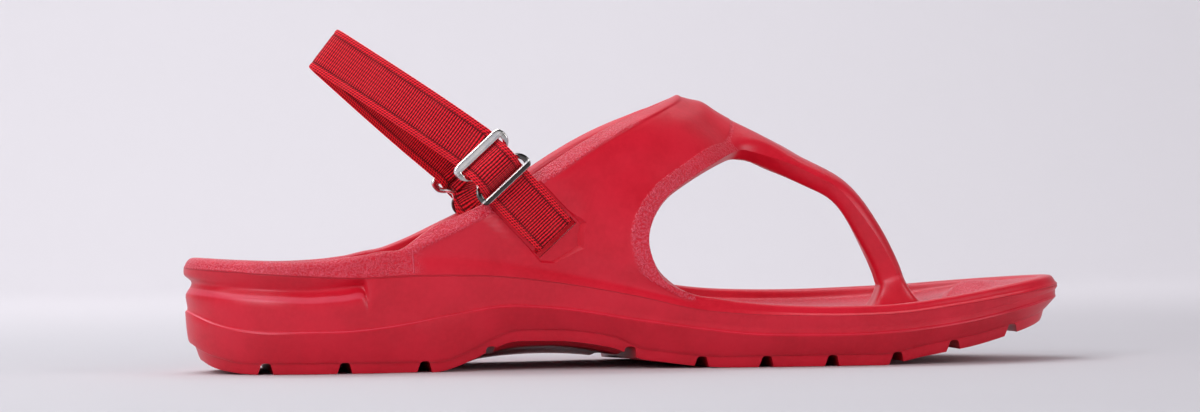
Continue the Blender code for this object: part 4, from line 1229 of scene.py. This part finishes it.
# %% Nodes from expressions
class Wire:
    """A number that varies over a surface. Arithmetic on it adds Math nodes."""

    def __init__(self, finish, socket):
        self.finish, self.socket = finish, socket

    def math(self, operation, *values):
        """One Math node on these values."""
        return self.finish.node("ShaderNodeMath", {"operation": operation},
                                dict(enumerate(values)))

    def __add__(self, other):
        return self.math("ADD", self, other)

    def __sub__(self, other):
        return self.math("SUBTRACT", self, other)

    def __rsub__(self, other):
        return self.math("SUBTRACT", other, self)

    def __mul__(self, other):
        return self.math("MULTIPLY", self, other)

    def __abs__(self):
        return self.math("ABSOLUTE", self)

    def low(self, other):
        """The smaller of the two."""
        return self.math("MINIMUM", self, other)

    def ramp(self, start, end):
        """0 at start, 1 at end, a soft step between."""
        return self.finish.node("ShaderNodeMapRange", {"interpolation_type": "SMOOTHSTEP"},
                                {"Value": self, "From Min": start, "From Max": end})

    def band(self, low, high, edge):
        """1 between low and high, fading to 0 outside over the edge."""
        return self.ramp(low - edge, low) * (1 - self.ramp(high, high + edge))

    def wave(self, period):
        """0 to 1 and back once in a period: half of 1 + cosine."""
        return self.math("COSINE", self * (2 * math.pi / period)) * 0.5 + 0.5

    __radd__, __rmul__ = __add__, __mul__


print("a wire can", [name for name in vars(Wire) if not name.startswith("_")])


# %% [markdown]
# Each finish is one shader with patterns that feed it, so one class serves them all. It sets
# the constants, makes the patterns and links them to the shader's sockets.


# %% Finishes
class Finish:
    """The nodes of a new material, or of the world, with one shader at their end."""

    def __init__(self, owner, shader="Principled BSDF", **constants):
        owner.use_nodes = True
        self.owner, self.tree = owner, owner.node_tree
        self.shader = self.tree.nodes[shader]
        for key, value in constants.items():
            self.shader.inputs[key.replace("_", " ")].default_value = value

    def node(self, kind, settings=None, inputs=None, output=0):
        """Adds a node: its settings first, then values or links for its sockets."""
        node = self.tree.nodes.new(kind)
        for key, value in (settings or {}).items():
            setattr(node, key, value)
        for key, value in (inputs or {}).items():
            if isinstance(value, Wire):
                self.tree.links.new(value.socket, node.inputs[key])
            else:
                node.inputs[key].default_value = value
        return Wire(self, node.outputs[output])

    def place(self):
        """Object coordinates in millimetres."""
        where = self.node("ShaderNodeTexCoord", output="Object")
        return self.node("ShaderNodeVectorMath", {"operation": "SCALE"},
                         {0: where, "Scale": 1 / MM})

    def chart(self, name):
        """The two numbers of a UV map."""
        where = self.node("ShaderNodeUVMap", {"uv_map": name})
        return self.parts(where)[:2]

    def parts(self, vector):
        """The three numbers of a vector."""
        split = self.node("ShaderNodeSeparateXYZ", inputs={0: vector})
        return [Wire(self, out) for out in split.socket.node.outputs]

    def noise(self, where, size, detail=2.0, roughness=0.5):
        """Noise whose blobs are about size millimetres across, from 0 to 1."""
        return self.node("ShaderNodeTexNoise", inputs={
            "Vector": where, "Scale": 1 / size, "Detail": detail, "Roughness": roughness})

    def cells(self, where, size):
        """Distance to the nearest of scattered points about size millimetres apart."""
        return self.node("ShaderNodeTexVoronoi",
                         inputs={"Vector": where, "Scale": 1 / size}, output="Distance")

    def mix(self, share, first, second):
        """A colour between two: first where share is 0, second where it is 1."""
        first, second = (end if isinstance(end, Wire) else (*end, 1.0)
                         for end in (first, second))
        return self.node("ShaderNodeMix", {"data_type": "RGBA"},
                         {0: share, 6: first, 7: second}, 2)

    def bump(self, height, millimetres):
        """Feeds a height from 0 to 1 into the shader's normal, as relief of that depth."""
        bump = self.node("ShaderNodeBump", inputs={
            "Height": height, "Distance": millimetres * MM, "Strength": 1.0})
        self.feed(Normal=bump)

    def feed(self, **links):
        """Links varying values to the shader's own sockets."""
        for key, value in links.items():
            self.tree.links.new(value.socket, self.shader.inputs[key.replace("_", " ")])


print("a finish can", [name for name in vars(Finish) if not name.startswith("_")])

# %% [markdown]
# ## Red foam
#
# The sandal is injection moulded from closed-cell foam. Its faces came off a polished mould,
# so they are satin, with a slight mottle and tiny pits. The rim and the lips along the wings
# were textured in the mould like fine leather, and there the light catches on the grain. Those
# glints are painted in as pink highlights, and so are the shine along the heel's ledges and a
# sheen on the footbed.


# %% Zones of the foam
INSERT_X, INSERT_LEAN = 35.2, 0.04     # line over the inner rim: x at the floor, lean
SEAM_X = 205.0            # of the line across the footbed, in front of the ball
SEAM_SLOPE, SEAM_START = 0.42, 66.0    # of the one from there to the toes: y = start - slope x


def foam_zones(foam):
    """Masks, 1 where a texture, a line of the mould or a painted highlight is. Most come from the
    chart: a point's row and its station on the sole, or its place round a wing. The rest come
    from x, y, z. The shelf and the ledge mark bands of painted highlight, and one mask weakens
    the grain's painted glints away from the heel."""
    station, row = foam.chart("chart")
    x, y, z = foam.parts(foam.place())
    wings = station.ramp(WING_CHART - 1.0, WING_CHART - 0.1)
    sole = 1 - wings
    own_station = station - SIDE_CHART * station.ramp(60.0, SIDE_CHART - 1.0)
    behind = 1 - own_station.ramp(WING_FROM, WING_FROM + 1.5)
    rim = row.band(PARTING_ROW + 0.3, RIM_IN_ROW + 0.2, 0.3) * sole * behind
    bed = row.ramp(INNER_ROW, INNER_ROW + 1.0) * sole
    window, collar = WING_CHART + WING_WIDTH - 1, WING_CHART + WINGS.shape[1] - 1
    top = row.band(MIDDLE_RIB - 2.0, MIDDLE_RIB + 1.0, 3.5) * wings
    window_lip = station.band(window - 0.5, window + 0.9, 0.5)
    collar_lip = (station.band(collar - 0.9, collar, 0.1)
                  + station.band(WING_CHART, WING_CHART + 0.4, 0.5))
    lips = window_lip * (1 - 0.5 * top) + collar_lip * (1 - top)
    cross = x.band(SEAM_X - 0.15, SEAM_X + 0.15, 0.25) * y.band(-30.0, 6.0, 2.0)
    slant = (y + SEAM_SLOPE * x).band(SEAM_START - 0.2, SEAM_START + 0.2, 0.4)
    return {
        "bed": bed,
        "grain": (rim + lips + bed * (x.ramp(120.0, 175.0) + 0.35)).low(1.0),
        # Share of the grain's painted glints: full at the heel, weaker further forward.
        "unworn": 1 - 0.35 * x.ramp(10.0, 25.0) * sole,
        "parting": row.band(PARTING_ROW - 0.04, PARTING_ROW + 0.04, 0.06) * sole,
        "insert": ((x + INSERT_LEAN * z).band(INSERT_X - 0.1, INSERT_X + 0.1, 0.18)
                   * z.band(31.0, 46.0, 0.5) * (1 - station.ramp(217.0, 218.0))),
        # Bands of painted highlight on the heel's shelf and along the wave ledge.
        "shelf": (row.band(LEDGE_ROW + 0.15, LEDGE_ROW + 0.5, 0.15) * sole
                  * (1 - x.ramp(17.0, 20.0))),
        "ledge": (row.band(WAVE_ROW + 0.35, WAVE_ROW + 0.6, 0.2) * sole
                  * (1 - 0.5 * x.ramp(15.0, 60.0))),
        "seams": (cross + slant * x.ramp(SEAM_X, SEAM_X + 1.0)).low(1.0) * bed}


print("lines over the foam at x", INSERT_X, "and", SEAM_X, "mm")


# %% Foam
def foam_finish():
    """Crimson satin foam with a leather grain on the rim and the lips. Painted pink highlights
    lie on the grain's glints, the insert's line, the ledge, the heel's shelf and the footbed. The
    relief
    is a sum: fine mottle + pits + grain + the insert's line - the parting line - the seams."""
    foam = Finish(bpy.data.materials.new("red_foam"), Specular_IOR_Level=0.5,
                  Specular_Tint=(1.0, 0.84, 0.95, 1.0))
    zone = foam_zones(foam)
    place = foam.place()
    mottle = foam.noise(place, 14.0, 3.0)
    fine = foam.noise(place, 1.6, 3.0, 0.6)
    pits = foam.cells(place, 0.75)
    leather = foam.noise(place, 0.6, 2.0).ramp(0.36, 0.68) * zone["grain"]
    # Painted highlights: the grain's glints, the insert's line, the ledge, the heel's shelf and a
    # sheen on the footbed are mixed towards pink.
    grain_glints = leather * zone["unworn"]
    lit = (grain_glints * 0.36 + zone["insert"] * 0.3 + zone["ledge"] * 0.34
           + zone["shelf"] * 0.26 + zone["bed"] * 0.08)
    lines = (zone["parting"] * 0.45 + zone["seams"] * 0.5).low(1.0)
    colour = foam.mix(mottle.ramp(0.35, 0.68), (0.53, 0.0030, 0.0160), (0.61, 0.0050, 0.0225))
    colour = foam.mix(fine.ramp(0.3, 0.8) * 0.35, colour, (0.67, 0.014, 0.032))
    # The painted highlights, mixed towards pink.
    colour = foam.mix(lit, colour, (0.86, 0.15, 0.23))
    colour = foam.mix(lines, colour, (0.30, 0.002, 0.006))
    relief = (fine * 0.10 + pits * 0.05 + leather * 0.9 + zone["insert"] * 0.9
              - zone["parting"] * 0.7 - zone["seams"] * 0.8)
    foam.feed(Base_Color=colour, Roughness=0.33 + 0.08 * mottle - 0.04 * grain_glints)
    foam.bump(relief, 0.22)
    return foam.owner


FOAM = foam_finish()
print("foam nodes:", len(FOAM.node_tree.nodes))

# %% [markdown]
# ## Elastic webbing
#
# The webbing is woven: rubber threads run along it, and the yarn across them makes fine ribs.
# Each edge is a smooth selvage. The UV map counts millimetres along and across, so the ribs
# keep their pitch round every bend.


# %% Webbing
SELVAGE = 2.0             # width of the border along each edge
RIB, THREAD, CORD, DASH = 0.86, 1.30, 0.68, 1.0     # pitch of the ribs and of what crosses them


def webbing_finish():
    """Red ribbed webbing with a selvage along each edge. The height is rib * (0.55 + 0.45
    thread) in the middle and 0.55 cord + 0.45 dash on the selvage, lower in between. The colour
    darkens where the height is low: painted shade in the hollows of the weave."""
    weave = Finish(bpy.data.materials.new("red_webbing"), Specular_IOR_Level=0.2,
                   Sheen_Weight=0.08, Sheen_Roughness=0.5, Sheen_Tint=(1.0, 0.45, 0.45, 1.0))
    place = weave.place()
    along, across = weave.chart("weave")
    wobble = (weave.noise(place, 3.0, 2.0) - 0.5) * 0.30
    inset = STRAP_WIDTH / 2 - abs(across)
    selvage = 1 - inset.ramp(SELVAGE, SELVAGE + 0.3)
    groove = inset.band(SELVAGE + 0.15, SELVAGE + 0.45, 0.2)
    rib = (along + wobble).wave(RIB)
    threads = (across + wobble).wave(THREAD)
    cords = (abs(across) + wobble * 0.5).wave(CORD)
    dashes = (along + across * 0.5).wave(DASH)
    body = rib * (0.55 + 0.45 * threads)
    border = cords * 0.55 + dashes * 0.45
    height = (body * (1 - selvage) + border * selvage) * (1 - 0.7 * groove)
    tone = weave.noise(place, 9.0, 2.0)
    # Painted shade: the colour darkens where the weave lies low.
    colour = weave.mix(height.ramp(0.10, 0.72), (0.085, 0.000, 0.003), (1.0, 0.013, 0.032))
    worn = weave.mix(tone.ramp(0.45, 0.8) * 0.3, colour, (0.52, 0.03, 0.035))
    weave.feed(Base_Color=worn, Roughness=0.80 - 0.12 * height)
    weave.bump(height, 0.30)
    return weave.owner


WEBBING_FINISH = webbing_finish()
print("webbing nodes:", len(WEBBING_FINISH.node_tree.nodes))

# %% [markdown]
# ## Polished steel
#
# The buckles are stamped and bent wire, polished and plated. Polishing leaves faint streaks,
# and fingers leave slightly duller places.


# %% Steel
def steel_finish():
    """Bright plated steel with faint polishing streaks. The lower bar, the rails and the flat
    bar's edge mirror dark things, and that dark reflection is painted into their colour too."""
    steel = Finish(bpy.data.materials.new("polished_steel"), Metallic=1.0)
    place = steel.place()
    streaks = steel.noise(steel.node("ShaderNodeVectorMath", {"operation": "MULTIPLY"},
                                     {0: place, 1: (0.25, 0.25, 2.2)}), 0.6, 3.0)
    smears = steel.noise(place, 3.5, 2.0)
    across, along = steel.chart("plan")
    lower = along.band(-7.5, -6.4, 0.15)
    rails = abs(across).ramp(7.6, 8.2) * (along.band(-5.6, -0.5, 0.4) * 0.9
                                          + along.band(0.0, 5.0, 0.4) * 0.45)
    # Painted reflection: these bands are coloured nearly black, as the dark things that they
    # mirror.
    painted_dark_reflection = (lower * 0.96 + rails + along.band(5.2, 6.0, 0.3) * 0.35).low(0.96)
    inner_edge = along.band(-6.3, -5.6, 0.15)
    bright = steel.mix(smears.ramp(0.35, 0.75), (1.0, 0.98, 0.94), (0.78, 0.79, 0.82))
    steel.feed(Base_Color=steel.mix(painted_dark_reflection, bright, (0.035, 0.03, 0.028)),
               Roughness=0.12 + 0.16 * smears.ramp(0.45, 0.8) + 0.05 * streaks + 0.2 * inner_edge)
    steel.bump(streaks, 0.01)
    return steel.owner


STEEL = steel_finish()
print("steel nodes:", len(STEEL.node_tree.nodes))

# %% [markdown]
# ## Put the pieces on the frame
#
# Every piece stands for a solid of the packed model and gets its finish. The strap and the
# buckles belong to the body's one rigid group.


# %% Ride and replace
for piece, node, slot, finish in (
        (BODY, "moulded_body", "foam", FOAM),
        (WEBBING, "heel_strap", "webbing", WEBBING_FINISH),
        (BUCKLES[0], "slide_buckle_medial", "buckle", STEEL),
        (BUCKLES[1], "slide_buckle_lateral", "buckle", STEEL)):
    piece.data.materials.clear()
    piece.data.materials.append(finish)
    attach(piece, "root")
    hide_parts(node)
    print(piece.name, "stands for", node)

# %% [markdown]
# ## Paper
#
# The sandal stands on a pale sheet of paper that curves up behind it, so there is no horizon.
# A plane and a wall would need their corner hidden, so floor, curve and wall are one sheet.
# Only its front shows: seen from behind or from below it is clear, and the sandal can be
# looked at from there too. Far in front of the sandal the paper glows a little, which stands
# for the lit room that the foam reflects from there.


# %% Sweep of paper
BELOW_SOLE = 0.0001       # between the tread and the paper; metres here and below
FLOOR_FROM, FLOOR_TO = -3.0, 1.0
CURVE, WALL_TOP_Z, HALF_WIDTH = 0.8, 3.5, 4.0


def paper_sweep():
    """A sheet whose section is floor, quarter circle, wall: two straight runs and an arc."""
    turn = np.radians(np.linspace(-90.0, 0.0, 25))
    curve = np.stack([FLOOR_TO + CURVE * np.cos(turn), CURVE + CURVE * np.sin(turn)], -1)
    section = np.vstack([[FLOOR_FROM, 0.0], curve, [FLOOR_TO + CURVE, WALL_TOP_Z]])
    points = np.stack(np.broadcast_arrays(
        np.array([-HALF_WIDTH, 0.0, HALF_WIDTH])[:, None], section[:, 0],
        section[:, 1] - BELOW_SOLE), -1)
    mesh = bpy.data.meshes.new("paper_sweep")
    quads = grid_quads(3, len(section)).reshape(-1, 4)[:, ::-1]
    mesh.from_pydata(points.reshape(-1, 3).tolist(), [], quads.tolist())
    shade(mesh, sharp_degrees=60)
    return new_piece("paper_sweep", mesh)


def paper_finish():
    """Pale paper with painted shade, greyer round the sandal and towards the right, and a painted
    glow far in front of it; clear from its back.
    """
    paper = Finish(bpy.data.materials.new("pale_paper"), Roughness=0.85,
                   Specular_IOR_Level=0.2, Emission_Strength=1.0)
    place = paper.place()
    x, y, _ = paper.parts(place)
    # Painted shade: the paper is greyer near the sandal and towards the right.
    near = paper.mix(x.ramp(-50.0, 500.0), (0.565, 0.565, 0.595), (0.510, 0.500, 0.530))
    shaded = paper.mix(y.ramp(150.0, 900.0), near, (0.755, 0.74, 0.775))
    cloud = paper.noise(place, 300.0, 2.0)
    paper.feed(Base_Color=paper.mix(cloud * 0.2, shaded, (0.70, 0.69, 0.72)),
               # Painted glow far in front of the sandal, standing for a lit room.
               Emission_Color=paper.mix(y.ramp(-300.0, -2000.0), (0.0, 0.0, 0.0),
                                        (0.50, 0.49, 0.51)),
               Alpha=1 - paper.node("ShaderNodeNewGeometry", output="Backfacing"))
    paper.bump(paper.noise(place, 0.8, 3.0), 0.02)
    return paper.owner


PAPER = paper_sweep()
PAPER.data.materials.append(paper_finish())
print("paper is", round(max(PAPER.dimensions), 1), "m long")

# %% [markdown]
# ## Light
#
# Red foam shows its shape by soft shine on its edges. One big light hangs above and a little
# behind, for the rims and the footbed. Two stand in front, left and right, for the side wall,
# and one lights the paper behind. The surroundings are pale near the horizon and dark
# overhead, which gives the steel something to mirror.


# %% Lights
SANDAL, WALL_BEHIND = (0.10, 0.0, 0.03), (0.0, 1.8, 0.5)

# Lights: name, place, what it faces, width, height, watts, colour.
LIGHTS = (
    ("overhead", (-0.38, 0.20, 1.22), SANDAL, 1.5, 1.1, 12.5, (1.0, 0.98, 1.0)),
    ("front_left", (-1.0, -0.95, 0.78), SANDAL, 0.9, 0.7, 12.3, (1.0, 0.97, 1.0)),
    ("front_right", (1.2, -0.9, 0.6), SANDAL, 0.8, 0.8, 7.5, (1.0, 0.97, 0.97)),
    ("on_paper", (0.0, 0.9, 1.9), WALL_BEHIND, 3.0, 0.6, 18.0, (1.0, 0.985, 1.0)),
)
PALE_UP_TO, DARK_FROM = 0.12, 0.48     # sine of the height over the horizon


def soft_light(name, at, target, width, height, watts, colour):
    """A rectangular light that faces a target."""
    light = bpy.data.lights.new(name, "AREA")
    light.shape = "RECTANGLE"
    light.size, light.size_y = width, height
    light.energy, light.color = watts, colour
    lamp = new_piece(name, light)
    lamp.location = at
    lamp.rotation_euler = (Vector(target) - Vector(at)).to_track_quat("-Z", "Y").to_euler()


def surroundings():
    """A world whose colour goes from pale to dark by (height - pale) / (dark - pale)."""
    studio = Finish(bpy.data.worlds.new("studio"), "Background", Strength=0.6)
    height = studio.parts(studio.node("ShaderNodeTexCoord", output="Generated"))[2]
    share = (height - PALE_UP_TO) * (1 / (DARK_FROM - PALE_UP_TO))
    studio.feed(Color=studio.mix(share, (0.93, 0.92, 0.97), (0.10, 0.10, 0.11)))
    return studio.owner


for row in LIGHTS:
    soft_light(*row)
bpy.context.scene.world = surroundings()
bpy.context.scene.view_settings.view_transform = "Standard"
print("lights:", len(bpy.data.lights))

# %% [markdown]
# ## Camera
#
# The camera stands more than a metre away with a long lens, nine degrees round towards the
# heel and almost level, so the sandal is seen from its inner side with little perspective. It
# is turned by three angles and then moved back from the point that it looks at.

# %% Camera
LENS, SENSOR = 117.675, 36.0           # millimetres
AIM, DISTANCE = (0.09765, 0.0, 0.050546), 1.25001
ROUND, DOWN, ROLL = math.radians(9.0), math.radians(0.25), math.radians(0.695)
camera = bpy.data.cameras.new("camera")
camera.lens, camera.sensor_width, camera.clip_end = LENS, SENSOR, 20.0
viewpoint = new_piece("camera", camera)
viewpoint.matrix_world = (
    Matrix.Translation(AIM) @ Matrix.Rotation(-ROUND, 4, "Z")
    @ Matrix.Rotation(math.pi / 2 - DOWN, 4, "X") @ Matrix.Rotation(-ROLL, 4, "Z")
    @ Matrix.Translation((0.0, 0.0, DISTANCE)))
bpy.context.scene.camera = viewpoint
print("camera at", [round(v, 3) for v in viewpoint.location])
